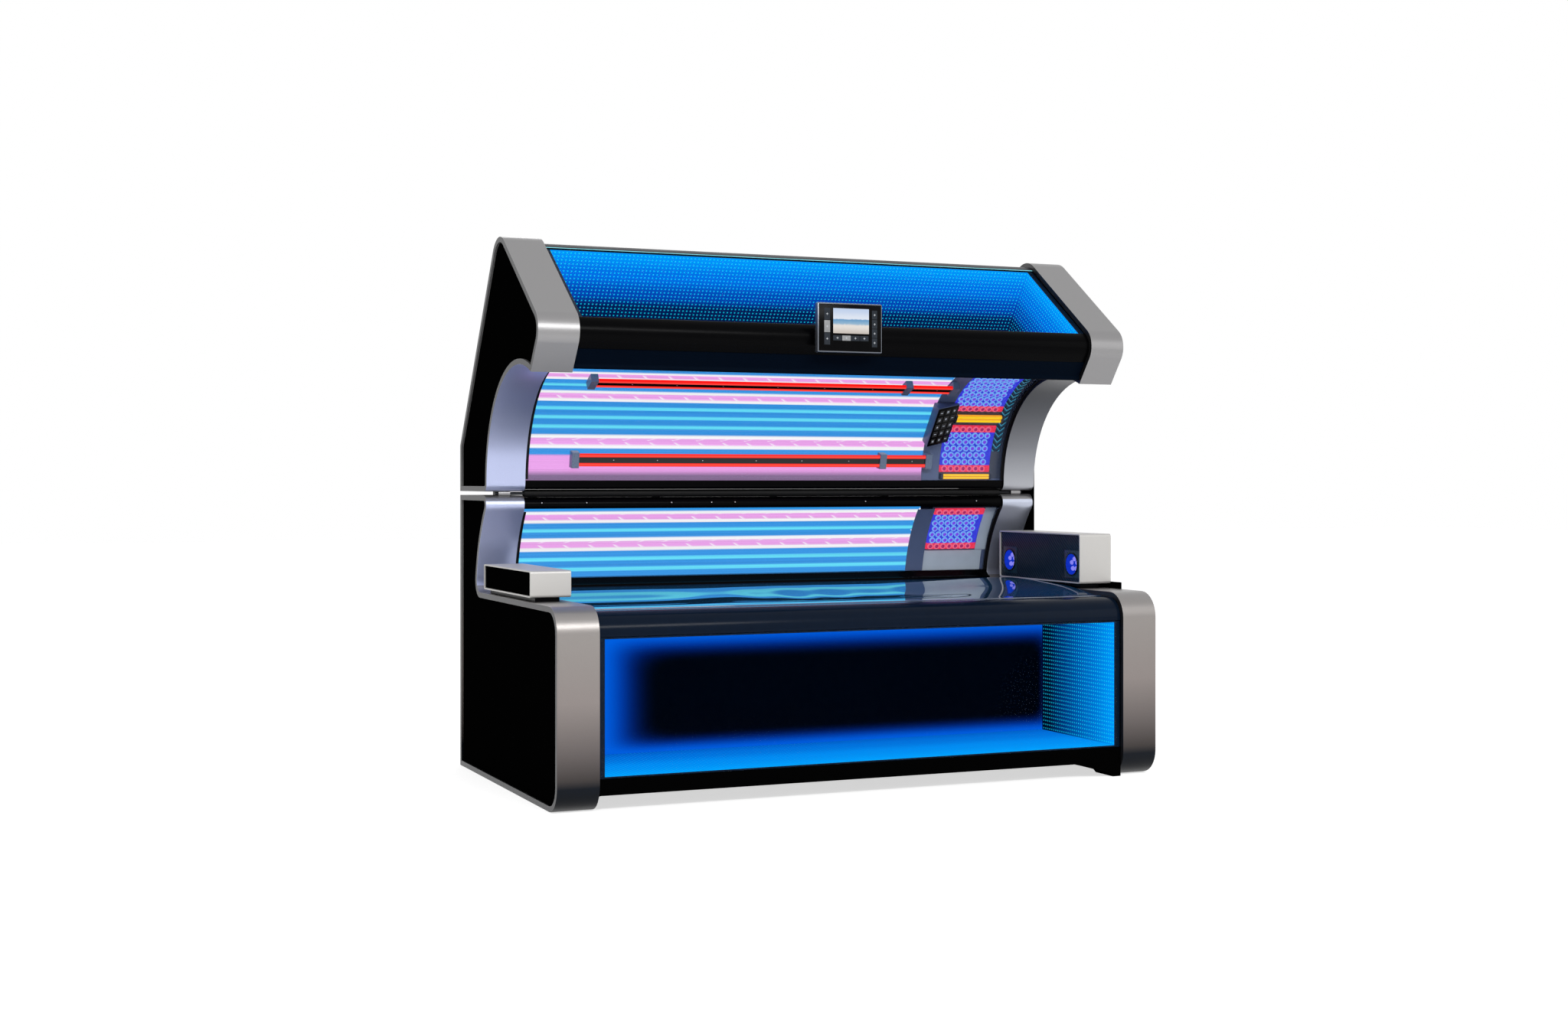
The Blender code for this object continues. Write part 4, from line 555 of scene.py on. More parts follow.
def lit_tube(name, core, body):
    """Lit tube whose core, toward the ring's centre, is brighter than its flanks."""
    material, tree, shader = glowing(name)
    share = add(tree, "Attribute", {}, "Fac", attribute_name="core")
    mixed = add(tree, "Mix", {"Factor": share, "A": colour4(body), "B": colour4(core)}, data_type="RGBA")
    feed(shader, {"Emission Color": mixed})
    return material


def glow_plain(name, colour, strength=1.0, grain=18.0):
    """An evenly lit surface with a slight cloud in it, its grain in millimetres."""
    material, tree, shader = glowing(name)
    place = add(tree, "TexCoord", {}, "Object")
    noise = add(tree, "TexNoise", {"Vector": place, "Scale": 1000 / grain})
    level = add(tree, "MapRange", {0: noise, **SWING, 3: 0.85, 4: 1.1})
    lit = add(tree, "VectorMath", {0: colour4(colour)[:3], "Scale": level}, operation="SCALE")
    feed(shader, {"Emission Color": lit, "Emission Strength": strength})
    return material


FINISH = {}


def make_finishes(scene):
    """Every finish that more than one piece shares."""
    # Powder-coated steel: matt black with a fine orange peel of about 2 mm
    FINISH["panel"] = surface("black_powder_coat", "#040404", (0.45, 0.60), 2.0, 0.05, Specular_IOR_Level=0.0)
    # Moulded ABS with a polished lacquer: deep black, one soft highlight along each curve
    FINISH["trim"] = surface("black_lacquered_abs", "#030304", (0.24, 0.28), 30.0, Specular_IOR_Level=0.03)
    # The bench bezel's lacquer is glossier, so that its top takes the colour of the lamps, and its black is tinted blue
    # as a painted reflection of them
    FINISH["bench_trim"] = surface(
        "black_lacquered_abs_painted_blue_reflection", "#0a1626", (0.16, 0.20), 30.0, Specular_IOR_Level=0.06
    )
    # Woven-look fascia film: near-black navy with a fine 3 mm texture
    FINISH["fascia"] = surface("navy_textured_film", "#040c18", (0.40, 0.55), 3.0, 0.20, 0.5, Specular_IOR_Level=0.01)
    # Rolled steel sheet, painted grey: a faint orange peel about 4 mm across
    FINISH["sheet"] = surface("grey_painted_steel", "#33353a", (0.46, 0.52), 4.0, 0.03, 0.06, Metallic=0.3)
    # Satin ABS, moulded: slate blue with a soft, even sheen
    FINISH["slate"] = surface("slate_satin_abs", "#4c5a7c", (0.32, 0.45), 8.0, 0.05, 0.10)
    # Satin painted steel: blue-black, with a broad dull highlight
    FINISH["carrier"] = surface("black_satin_steel", "#101420", (0.30, 0.42), 8.0, 0.05, 0.10)
    # Rolled sheet with a pale blue-grey coat: faint cloudy sheen about 60 mm across
    FINISH["plate"] = surface("pale_grey_coated_sheet", "#c8d6e0", (0.30, 0.42), 60.0)
    # Brushed stainless steel: marks drawn along the bed, about 1.5 mm apart so that they show
    FINISH["steel"] = surface(
        "brushed_stainless_steel", "#9fb0bc", (0.22, 0.40), 1.5, 0.10, 0.10, (0.02, 1, 1), Metallic=0.85
    )
    # Blackened steel: dark grey with a mottled metal sheen
    FINISH["dark_steel"] = surface("blackened_steel", "#26282c", (0.35, 0.50), 6.0, 0.06, 0.15, Metallic=0.8)
    # Glass-filled nylon, moulded: dull black with a slight grain
    FINISH["fan"] = surface("glass_filled_nylon", "#0e0e10", (0.45, 0.60), 4.0, 0.10)
    # Polished aluminium sheet: a bright, slightly clouded mirror
    FINISH["mirror"] = surface("polished_aluminium_sheet", "#c6ccd6", (0.10, 0.18), 40.0, 0.0, 0.05, Metallic=1.0)
    # Acetal, moulded: blue-grey with a waxy gloss
    FINISH["bracket"] = surface("grey_acetal", "#5f6f88", (0.25, 0.35), 5.0, 0.05)
    # Moulded rubber: black, and too rough for a highlight
    FINISH["rubber"] = surface("black_rubber", "#070708", (0.55, 0.70), 3.0, 0.12, Specular_IOR_Level=0.2)
    # Sprayed silver paint: warm and pale with a fine 2.5 mm grain
    FINISH["console"] = surface(
        "warm_silver_paint", scene.bed_colours.console, (0.34, 0.46), 2.5, 0.05, 0.05, Metallic=0.35
    )
    # Nickel-plated steel: small bright highlights on the screws
    FINISH["screw"] = surface("nickel_plated_steel", "#c8c8c8", (0.20, 0.30), 3.0, 0.0, 0.05, Metallic=1.0)
    # Back-painted glass: black under a sharp gloss
    FINISH["device"] = surface("black_device_glass", "#050506", (0.05, 0.10), 50.0, Specular_IOR_Level=0.3)
    # Clear acrylic: a faint blue veil over the lamps
    FINISH["acrylic"] = clear_sheet("clear_acrylic_sheet", "#9fb4e4", 0.05)
    # Tinted float glass: nearly invisible but for its gloss
    FINISH["glass"] = clear_sheet("tinted_float_glass", "#041c3c", 0.02)
    FINISH["lamp"] = lamp_glow(scene.bed_sizes.tick_pitch)


# Pieces


class BED_OT_bands(Operator):
    """Silver end bands with rounded edges and black side panels"""

    bl_idname = "bed.bands"
    bl_label = "End bands"

    # Heights over which the painted shade runs on the bands, and the painted light and shade on the head end's arch
    foot, top = 0.0, 0.75
    arch_foot, arch_top = 0.70, 1.50
    # Where the canopy's arch and the rear wall start, and how far the bands reach outside the acrylic
    canopy_from, wall_from, wall_behind, reach = 1.080, 0.730, 0.200, 0.022

    def execute(self, context):
        colours = context.scene.bed_colours
        # Painted shade: dark and bluish on the curve over the floor, warm above it
        shade = (
            (0.0, "#040a14"), (1.0, "#fcfcff"), (0.115, "#142030"), (0.155, "#746c6a"), (0.28, "#b2a8a6"),
            (0.5, "#f2e6e2"), (0.8, "#fff8f4"),
        )
        silver = band_paint("satin_aluminium_paint", colours.band, self.foot, self.top, shade)
        # Painted reflection: the foot end's inner arch is painted lavender for the lamps' light on it
        foot_arch_reflection = band_paint("satin_aluminium_paint_lamp_reflection", colours.foot_arch_reflection_colour, self.foot, self.top, shade)
        # Painted light and shade: the head end's arch is painted pale low down, where the lamps of the base light it,
        # and darker up in the canopy
        shade = ((0.0, "#bcc2d2"), (1.0, "#34363c"), (0.43, "#bcc2d2"), (0.47, "#b4b6bc"), (0.72, "#7c7e84"))
        arch = band_paint("satin_aluminium_paint_arch", "#ffffff", self.arch_foot, self.arch_top, shade)
        for end, inside in (("foot", foot_arch_reflection), ("head", arch)):
            for part in ("base", "canopy"):
                node = f"{part}_band_{end}"
                band = recast(node, context.scene.bed_sizes.edge, 3, 50)
                second_finish(dress(band, part, "band_silver", silver, inside, nodes=[node]), self.inner)
                shell(f"{part}_side_panel_{end}", part, "panel_black", FINISH["panel"], 0.0010, 2, 50)
        shell("head_end_shield", "base", "panel_black", FINISH["panel"], 0.0010)
        return {"FINISHED"}

    def inner(self, place, normal):
        """Whether a face lies on the arch that the user sees from inside."""
        if place.z > self.canopy_from:
            centre, radius = TUNNEL, TUNNEL_RADIUS
        elif place.z > self.wall_from and place.y > self.wall_behind:
            centre, radius = WALL, WALL_RADIUS
        else:
            return False
        toward = Vector((0, centre[0] - place.y, centre[1] - place.z))
        return abs(normal.x) < 0.5 and toward.length < radius + self.reach and toward.dot(normal) > 0


class BED_OT_trims(Operator):
    """Black bezels, rails and plinth with their screws"""

    bl_idname = "bed.trims"
    bl_label = "Trims"

    # A CAD node, its body, slot and finish, and the rounding of its edges
    trims = (
        ("canopy_bezel", "canopy", "trim_black", "trim", 0.0012),
        ("canopy_fascia", "canopy", "trim_black", "fascia", 0.0010),
        ("canopy_hinge_rail", "canopy", "trim_black", "trim", 0.0015),
        ("base_hinge_rail", "base", "trim_black", "trim", 0.0010),
        ("bench_bezel", "base", "trim_black", "bench_trim", 0.0010),
        ("bench_corner_strip", "base", "trim_black", "trim", 0.0015),
        ("base_chassis", "base", "frame_black", "panel", 0.0015),
        ("canopy_back_shell", "canopy", "sheet_grey", "sheet", 0.0008),
        ("base_back_panel", "base", "sheet_grey", "sheet", 0.0008),
        ("foot_console_pedestal", "base", "trim_black", "trim", 0.0020),
        ("head_console_pedestal", "base", "trim_black", "trim", 0.0020),
    )
    # Places of the screws: along the waist, its front face and height, and along and up the back
    waist_along, waist_face, waist_height = (-0.98, -0.80, -0.45, -0.28, -0.18, 0.40, 0.92), 0.2645, 1.046
    back_along, back_heights, canopy_height = (-1.02, -0.51, 0.0, 0.51, 1.02), (0.150, 0.600, 1.020), 1.180
    sleeve_radius = 0.0150

    def execute(self, context):
        for node, body, slot, finish, edge in self.trims:
            shell(node, body, slot, FINISH[finish], edge, 2, 45)
        row = [(x, self.waist_face, self.waist_height) for x in self.waist_along]
        self.screws("waist_screws", row, "base", 0.0026)
        self.sleeve()
        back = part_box("base_back_panel")[1].y
        rows = [(x, back, z) for z in self.back_heights for x in self.back_along]
        self.screws("back_panel_screws", rows, "base", away=1)
        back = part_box("canopy_back_shell")[1].y
        row = [(x, back, self.canopy_height) for x in self.back_along]
        self.screws("canopy_back_screws", row, "canopy", away=1)
        return {"FINISHED"}

    def sleeve(self):
        """Black sleeve on the hinge shaft that closes the slit between the two rails."""
        low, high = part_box("hinge_shaft")
        axis = ((low.y + high.y) / 2, (low.z + high.z) / 2)
        sleeve = rod("hinge_sleeve", -SPAN + 0.001, SPAN - 0.001, axis, self.sleeve_radius, 28, 0.004)
        dress(sleeve, "base", "trim_black", FINISH["rubber"])

    def screws(self, name, places, body, radius=0.0042, away=-1):
        """Low domed heads with a socket, proud of the face that they hold."""
        head = cylinder(name, 12, radius, 0.0020, (away * -math.pi / 2, 0, 0))
        select_faces(head, lambda centre, normal: normal.y * away > 0.9)
        bpy.ops.mesh.inset(thickness=radius * 0.28)
        bpy.ops.mesh.inset(thickness=radius * 0.28, depth=-0.0008)
        done()
        rounded(head, 0.0004, 1)
        obj = copies(name, head, [Matrix.Translation((x, y + away * 0.0008, z)) for x, y, z in places])
        dress(obj, body, "steel_dark", FINISH["screw"])


class BED_OT_light_boxes(Operator):
    """Mirrored light boxes in the roof and in the base front, behind their glass"""

    bl_idname = "bed.light_boxes"
    bl_label = "Light boxes"

    # Thickness of the roof glass and of a tray's wall, and the depth of the roof's box
    glass, wall, roof_depth = 0.0064, 0.006, 0.300

    def execute(self, context):
        colours = context.scene.bed_colours
        inward = Vector((0.0, math.sin(ROOF_SLOPE), -math.cos(ROOF_SLOPE)))
        down = (0.0, -math.cos(ROOF_SLOPE), -math.sin(ROOF_SLOPE))
        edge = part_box("canopy_light_glass")[1]
        # The glass's inner face starts under its top edge
        top = Vector((0.0, edge.y, edge.z)) + self.glass * inward
        ramp = (
            (0.0, colours.box_bright), (1.0, colours.box_dark), (0.30, "#0070e8"), (0.58, "#0046b4"), (0.78, "#001c54"),
        )
        roof = light_box(
            "roof_mirror_box", top, inward, down, self.roof_depth, 0.0200, ramp, 0.9, None, context.scene
        )
        self.tray("canopy_light_tray", "canopy", roof)
        low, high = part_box("front_light_tray")
        origin = (0.0, low.y, low.z + self.wall)
        depth, height = high.y - low.y - self.wall, high.z - low.z - 2 * self.wall
        ramp = ((0.0, colours.box_bright), (1.0, "#0050c8"), (0.35, "#0084f4"), (0.75, "#0064dc"))
        glow = (
            ("x", 1, BOX_END - 0.170, 0.90), ("x", -1, BOX_END + 0.055, 2.4),
            ("z", 1, 0.0, 2.6), ("z", -1, height - 0.040, 2.0),
        )
        front = light_box(
            "front_mirror_box", origin, (0, 1, 0), (0, 0, 1), depth, height + 0.010, ramp, 0.03, glow, context.scene
        )
        self.tray("front_light_tray", "base", front)
        paint(FINISH["glass"], "canopy_light_glass", "front_light_glass")
        self.edge_light(edge)
        return {"FINISHED"}

    def tray(self, node, body, lit):
        """The tray glows on its inside faces; its rim and outside are navy."""
        low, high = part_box(node)
        middle = (low + high) / 2
        # Painted sheet: dark navy with a dull sheen
        navy = surface("navy_painted_tray", "#04182c", (0.30, 0.42), 12.0, 0.03, 0.2, Specular_IOR_Level=0.1)
        tray = dress(recast(node), body, "light_box", lit, navy, nodes=[node])
        second_finish(tray, lambda centre, normal: (middle - centre).dot(normal) <= 0.004)

    def edge_light(self, edge):
        """A lit line along the top edge of the roof glass."""
        strip = box("roof_edge_light", (-SPAN, -0.0045, 0.0), (SPAN, 0.0, 0.0010), 0.0003, 1)
        turn = Matrix.Rotation(ROOF_SLOPE, 4, "X")
        strip.data.transform(Matrix.Translation((0, edge.y - 0.0006, edge.z - 0.0006)) @ turn)
        dress(strip, "canopy", "light_box", glow_plain("cyan_edge_light", "#9cf4ff"))


class BED_OT_lamps(Operator):
    """Lit lamp banks and their reflectors in the canopy and the rear wall"""

    bl_idname = "bed.lamps"
    bl_label = "Lamp banks"

    # A bank's name and body, the last angle of its reflector, and the first and last angle of its gaskets
    banks = (
        ("canopy", "canopy", CANOPY_BANK, 103.0, (2.2, 107.0)),
        ("rear_wall", "base", REAR_BANK, 41.0, (9.8, 40.3)),
    )
    # The gaskets at both ends of the acrylic, and the reflector sheet's thickness and lit end
    gaskets = (("foot", -SPAN, -SPAN + 0.014), ("head", SPAN - 0.008, SPAN))
    sheet, sheet_end = 0.003, LAMP_END + 0.016
    # A core's half width and soft edge, and the way over which the lowest lamps' glow falls off, in lamp pitches
    core, soft, fall = 0.25, 0.15, 0.6

    def execute(self, context):
        self.sizes, self.colours = context.scene.bed_sizes, context.scene.bed_colours
        for name, body, bank, last, _ in self.banks:
            self.bank(name, body, bank, last)
        paint(FINISH["acrylic"], "canopy_acrylic", "rear_wall_acrylic")
        for end, low, high in self.gaskets:
            for name, body, (centre, radius, *_), _, angles in self.banks:
                inner, outer = radius + ACRYLIC_DEPTH - 0.0035, radius + ACRYLIC_DEPTH - 0.0004
                gasket = curved_bar(f"{name}_gasket_{end}", centre, inner, outer, low, high, *angles, 40)
                dress(gasket, body, "trim_black", FINISH["rubber"])
        paint(FINISH["mirror"], "bench_reflector")
        paint(FINISH["lamp"], "bench_lamp_bank")
        return {"FINISHED"}

    def bank(self, name, body, bank, last):
        """The tubes on their pitch circle, the reflector sheet behind them painted with their glow, and its dark end by
        the face zone.
        """
        centre, radius, first, kinds, _ = bank
        ring, inner = radius + LAMP_DEPTH, radius + REFLECTOR_DEPTH
        pitch = math.degrees(self.sizes.lamp_pitch / ring)
        tube = rod(name + "_lamps", LAMP_START, LAMP_END, (0, 0), self.sizes.lamp_radius, 40, 0.010)
        places = [ring_place(centre, ring, first + pitch * index) for index in range(len(kinds))]
        tubes = copies(name + "_lamps", tube, places)
        self.shine(tubes, bank, pitch)
        dress(tubes, body, "lamp_glass", FINISH["lamp"], nodes=[name + "_lamp_bank"])
        node = name + "_reflector"
        begin = math.degrees(math.asin((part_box(node)[0].z - centre[1]) / inner))
        outer, count = inner + self.sheet, len(kinds)
        # Painted reflection: the reflector sheet glows with the colours of the tubes in front of it
        lit = curved_bar(node + "_sheet", centre, inner, outer, -SPAN, self.sheet_end, begin, last, 8 * count)
        self.shine(lit, bank, pitch)
        dress(lit, body, "reflector_sheet", FINISH["lamp"], nodes=[node])
        rest = curved_bar(node + "_end", centre, inner, outer, self.sheet_end, SPAN, begin, last, 2 * count)
        dress(rest, body, "reflector_sheet", FINISH["carrier"])

    def shine(self, obj, bank, pitch):
        """Writes the glow of the bank onto a piece, by its angle round the centre."""
        centre, _, first, kinds, gaps = bank
        obj.data.color_attributes.new("glow", "FLOAT_COLOR", "POINT")
        obj.data.attributes.new("glint", "FLOAT", "POINT")
        glow, glint = obj.data.attributes["glow"].data, obj.data.attributes["glint"].data
        cores = {"P": self.colours.pink_core, "B": self.colours.blue_core, "p": self.colours.pink}
        dusk = linear("#86688c")
        for vertex in obj.data.vertices:
            y, z = vertex.co.y - centre[0], vertex.co.z - centre[1]
            step = (math.degrees(math.atan2(z, y)) - first) / pitch
            index = min(len(kinds) - 1, max(0, round(step)))
            phase = step - index
            # The gap between two lamps is pink only where both are
            below = index - 1 if phase < 0 else index
            if 0 <= below < len(kinds) - 1:
                pair = kinds[below : below + 2]
            else:
                pair = kinds[index] + ("P" if below < 0 and kinds[0] == "p" else "B")
            pink = pair.upper() == "PP" and gaps.get(below) != "B"
            body = self.colours.pink if pink else self.colours.blue
            colour = blend(body, cores[kinds[index]], ease((self.core - abs(phase)) / self.soft))
            if below < 0 and pink:
                colour = blend(colour, dusk, clamp((abs(phase) - self.core) / self.fall))
            glow[vertex.index].color = (*colour, 1.0)
            glint[vertex.index].value = abs(phase) if pink and kinds[index] == "P" else 0.0


class BED_OT_face_zone(Operator):
    """Cover strips, LED boards and yellow lamps at the head end"""

    bl_idname = "bed.face_zone"
    bl_label = "Face zone"

    # Thickness of a board, and where the side strip and the plates end along X
    thickness, strip_end, plate_end = 0.0075, 1.0330, SPAN - 0.0006
    # Columns of lenses and their share of the board, and the first one's place and a row's shift in columns
    columns, column_share, column_start, stagger = 7, 0.89, 0.62, 0.125
    # How far a lens stands out of its board, and its height
    lens_stand, lens_height = 0.0018, 0.0055

    def execute(self, context):
        self.sizes, self.colours = context.scene.bed_sizes, context.scene.bed_colours
        # Painted light: the solder resist glows with the light of its LEDs; resist and lenses are saturated, each lens
        # with a pale rim round a deeper heart
        self.resist = {
            "B": glow_plain("blue_board_resist", "#3436e6", 0.9),
            "R": glow_plain("red_board_resist", "#ff2c4c", 0.9),
        }
        self.lenses = (
            ("B", "blue", glow_plain("lens_rim_glow", "#76aeff", 0.95, 6.0),
             glow_plain("lens_heart_glow", "#7a3cf0", 0.9, 6.0), self.stagger),
            ("R", "red", glow_plain("red_lens_rim_glow", "#ff6484", 0.9, 6.0),
             glow_plain("red_lens_heart_glow", "#b0145c", 0.9, 6.0), 0.0),
        )
        for node, body in (("face_panel", "canopy"), ("rear_face_panel", "base")):
            shell(node, body, "slate_cover", FINISH["slate"], 0.0008, 1, 60)
        self.board("face_led_board_lower", "canopy", TUNNEL, TUNNEL_RADIUS, 6.0, 31.6, "RBBBBBR")
        self.board("face_led_board_upper", "canopy", TUNNEL, TUNNEL_RADIUS, 41.0, 70.0, "RBBBBBBB")
        self.board("rear_led_board", "base", WALL, WALL_RADIUS, 19.1, 39.0, "RBBBBBR")
        self.face_lamp("face_lamp_upper", 36.2, 0.018, 0.0086, 0.775, 1.010)
        self.face_lamp("face_lamp_lower", 3.6, 0.011, 0.0053, 0.757, 1.000)
        self.plates()
        return {"FINISHED"}

    def plates(self):
        """Backing plates that show round the boards."""
        back = TUNNEL_RADIUS + CARRIER_DEPTH - 0.0002
        dark = curved_bar("face_backing_plate", TUNNEL, back - 0.0006, back, PLATE_START, self.plate_end, 2.4, 97.5, 48)
        dress(dark, "canopy", "slate_cover", FINISH["carrier"])
        wave = self.chevrons((SIDE_START + self.strip_end) / 2)
        strip = curved_bar(
            "face_side_strip", TUNNEL, back - 0.0040, back - 0.0007, SIDE_START, self.strip_end, 17.0, 84.0, 34
        )
        dress(rounded(strip, 0.0010), "canopy", "slate_cover", wave)
        back = WALL_RADIUS + CARRIER_DEPTH - 0.0002
        for name, depth, low, high, first, last, steps in (
            ("rear_lower_plate", 0.0012, PLATE_START, 1.0300, 9.4, 18.2, 10),
            ("rear_side_plate", 0.0024, SIDE_START, self.plate_end, 18.4, 39.3, 14),
        ):
            plate = curved_bar(name, WALL, back - depth, back, low, high, first, last, steps)
            dress(rounded(plate, 0.0004, 1), "base", "slate_cover", FINISH["plate"])

    def chevrons(self, middle):
        """Printed film with pale arrow lines that run up the strip, one in every 24 mm."""
        material, tree, shader = glowing("teal_printed_film", 0.2)
        place = add(tree, "TexCoord", {}, "Object")
        x, y, z = add(tree, "SeparateXYZ", {0: place}).node.outputs
        y = add(tree, "Math", {0: y, 1: TUNNEL[0]}, operation="SUBTRACT")
        z = add(tree, "Math", {0: z, 1: TUNNEL[1]}, operation="SUBTRACT")
        turn = add(tree, "Math", {0: z, 1: y}, operation="ARCTAN2")
        up = add(tree, "Math", {0: turn, 1: TUNNEL_RADIUS}, operation="MULTIPLY")
        aside = add(tree, "Math", {0: x, 1: middle}, operation="SUBTRACT")
        aside = add(tree, "Math", {0: aside}, operation="ABSOLUTE")
        climb = add(tree, "Math", {0: aside, 1: -0.9, 2: up}, operation="MULTIPLY_ADD")
        cell = add(tree, "Math", {0: climb, 1: 1 / 0.024}, operation="MULTIPLY")
        cell = add(tree, "Math", {0: cell}, operation="FRACT")
        stops = ((0.0, "#02080e"), (1.0, "#58c8e8"), (0.45, "#04202e"), (0.80, "#0c5470"), (0.88, "#3aa8cc"))
        bars = add(tree, "ValToRGB", {0: cell}, stops=stops, run="EASE")
        # Painted light: the film and its print glow with a light of their own
        feed(shader, {"Emission Color": bars, "Emission Strength": 0.7})
        return material

    def lens(self, name, rim, heart):
        """One lens at the origin, its dish toward -Y."""
        radius = self.sizes.lens_radius
        obj = cylinder(name, 12, radius, self.lens_height, ALONG_Y)
        select_faces(obj, lambda centre, normal: normal.y < -0.9)
        bpy.ops.mesh.inset(thickness=radius * 0.40)
        bpy.ops.mesh.inset(thickness=radius * 0.12, depth=-0.0026)
        done()
        obj.data.materials.append(rim)
        obj.data.materials.append(heart)
        second_finish(
            obj, lambda centre, normal: math.hypot(centre.x, centre.z) < radius * 0.55 and normal.y < -0.2
        )
        select_faces(obj, lambda centre, normal: normal.y > 0.9)
        bpy.ops.mesh.delete(type="ONLY_FACE")
        done()
        return smooth(obj, 50)

    def board(self, node, body, centre, radius, first, last, rows):
        """Printed board in blue and red strips with a lens at each LED."""
        back = radius + CARRIER_DEPTH - SEAT
        front = back - self.thickness
        step = (last - first) / len(rows)
        strips = []
        for row, kind in enumerate(rows):
            low = first + step * row
            strip = curved_bar(node, centre, front, back, BOARD_START, BOARD_END, low, low + step, 3)
            strip.data.materials.append(self.resist[kind])
            strips.append(strip)
        dress(cleaned(joined(node + "_resist", strips)), body, "led_board", nodes=[node])
        # The lenses leave a plain margin at the board's far end
        pitch = (BOARD_END - BOARD_START) * self.column_share / self.columns
        for kind, colour, rim, heart, stagger in self.lenses:
            places = []
            for row in [row for row, found in enumerate(rows) if found == kind]:
                begin = self.column_start + (stagger if row % 2 else -stagger)
                for column in range(self.columns):
                    x = BOARD_START + pitch * (column + begin)
                    places.append(ring_place(centre, front - self.lens_stand, first + step * (row + 0.5), x))
            dress(copies(f"{node}_lenses_{colour}", self.lens(node, rim, heart), places), body, "led_board")

    def face_lamp(self, node, angle, gap, radius, low, high):
        """Twin yellow tubes between black end blocks."""
        ring = TUNNEL_RADIUS + CARRIER_DEPTH - SEAT - self.thickness
        inset, block = 0.006, 0.012
        spread = math.degrees(gap / 2 / ring)
        tubes = []
        for turn in (angle - spread, angle + spread):
            tubes.append(rod(node, low + inset, high - inset, on_ring(TUNNEL, ring, turn), radius, 20, 0.002))
        pair = joined(node + "_tubes", tubes)
        mark_core(pair, TUNNEL, ring, radius)
        lit = lit_tube(node + "_glass", "#ffd800", self.colours.yellow)
        dress(pair, "canopy", "face_lamp_glass", lit, nodes=[node])
        width = math.degrees((gap / 2 + radius + 0.001) / ring)
        inner, outer = ring - radius - 0.001, ring + self.thickness
        for end, x in (("foot", low), ("head", high - block)):
            name = f"{node}_holder_{end}"
            holder = curved_bar(name, TUNNEL, inner, outer, x, x + block, angle - width, angle + width, 4)
            dress(rounded(holder, 0.0010), "canopy", "face_lamp_glass", FINISH["device"])


class BED_OT_red_rails(Operator):
    """Black rails with red tubes and grey clips across the canopy acrylic"""

    bl_idname = "bed.red_rails"
    bl_label = "Red rails"

    # A rail's ends along X, its middle off the acrylic, its half thickness, and a tube's way off the middle and radius
    low, high = -0.870, 0.690
    stand, half, reach, tube = 0.022, 0.004, 0.0178, 0.0076
    # A clip's width, its way past the tubes, its height over the rail's middle, and the places of clips and studs
    clip_width, clip_reach, clip_height = 0.030, 0.0140, 0.0115
    clip_places = (low - 0.001, 0.450, high - 0.029)
    stud_places = (-0.70, -0.52, -0.33, -0.10, 0.10, 0.31, 0.60)

    def execute(self, context):
        lit = lit_tube("red_lit_tube", "#ff5046", context.scene.bed_colours.red)
        for name, angle in (("upper", 63.5), ("lower", 12.5)):
            self.rail("red_rail_" + name, angle, lit)
        return {"FINISHED"}

    def rail(self, node, angle, lit):
        """One rail at its angle on the tunnel: bar, two tubes, three clips and a row of studs."""
        foot = TUNNEL_RADIUS + ACRYLIC_DEPTH - SEAT
        middle = foot - self.stand
        reach = math.degrees(self.reach / middle)
        inner, outer = middle - self.half, middle + self.half
        bar = curved_bar(node + "_bar", TUNNEL, inner, outer, self.low, self.high, angle - reach, angle + reach, 4)
        dress(rounded(bar, 0.0012), "canopy", "red_rail", FINISH["device"], nodes=[node])
        tubes = []
        for turn in (angle - reach, angle + reach):
            place = on_ring(TUNNEL, middle, turn)
            tubes.append(rod(node, self.low + 0.004, self.high - 0.004, place, self.tube, 20, 0.002))
        pair = joined(node + "_tubes", tubes)
        mark_core(pair, TUNNEL, middle, self.tube)
        dress(pair, "canopy", "red_rail", lit)
        wide = reach + math.degrees(self.clip_reach / middle)
        clips = []
        for x in self.clip_places:
            ends = (x, x + self.clip_width, angle - wide, angle + wide)
            clips.append(rounded(curved_bar(node, TUNNEL, middle - self.clip_height, foot, *ends, 6), 0.0020))
        dress(joined(node + "_clips", clips), "canopy", "red_rail", FINISH["bracket"])
        stud = rounded(cylinder(node, 10, 0.0022, 0.0016, ALONG_Y), 0.0006)
        places = [ring_place(TUNNEL, middle - 0.0044, angle, x) for x in self.stud_places]
        dress(copies(node + "_studs", stud, places), "canopy", "red_rail", FINISH["screw"])


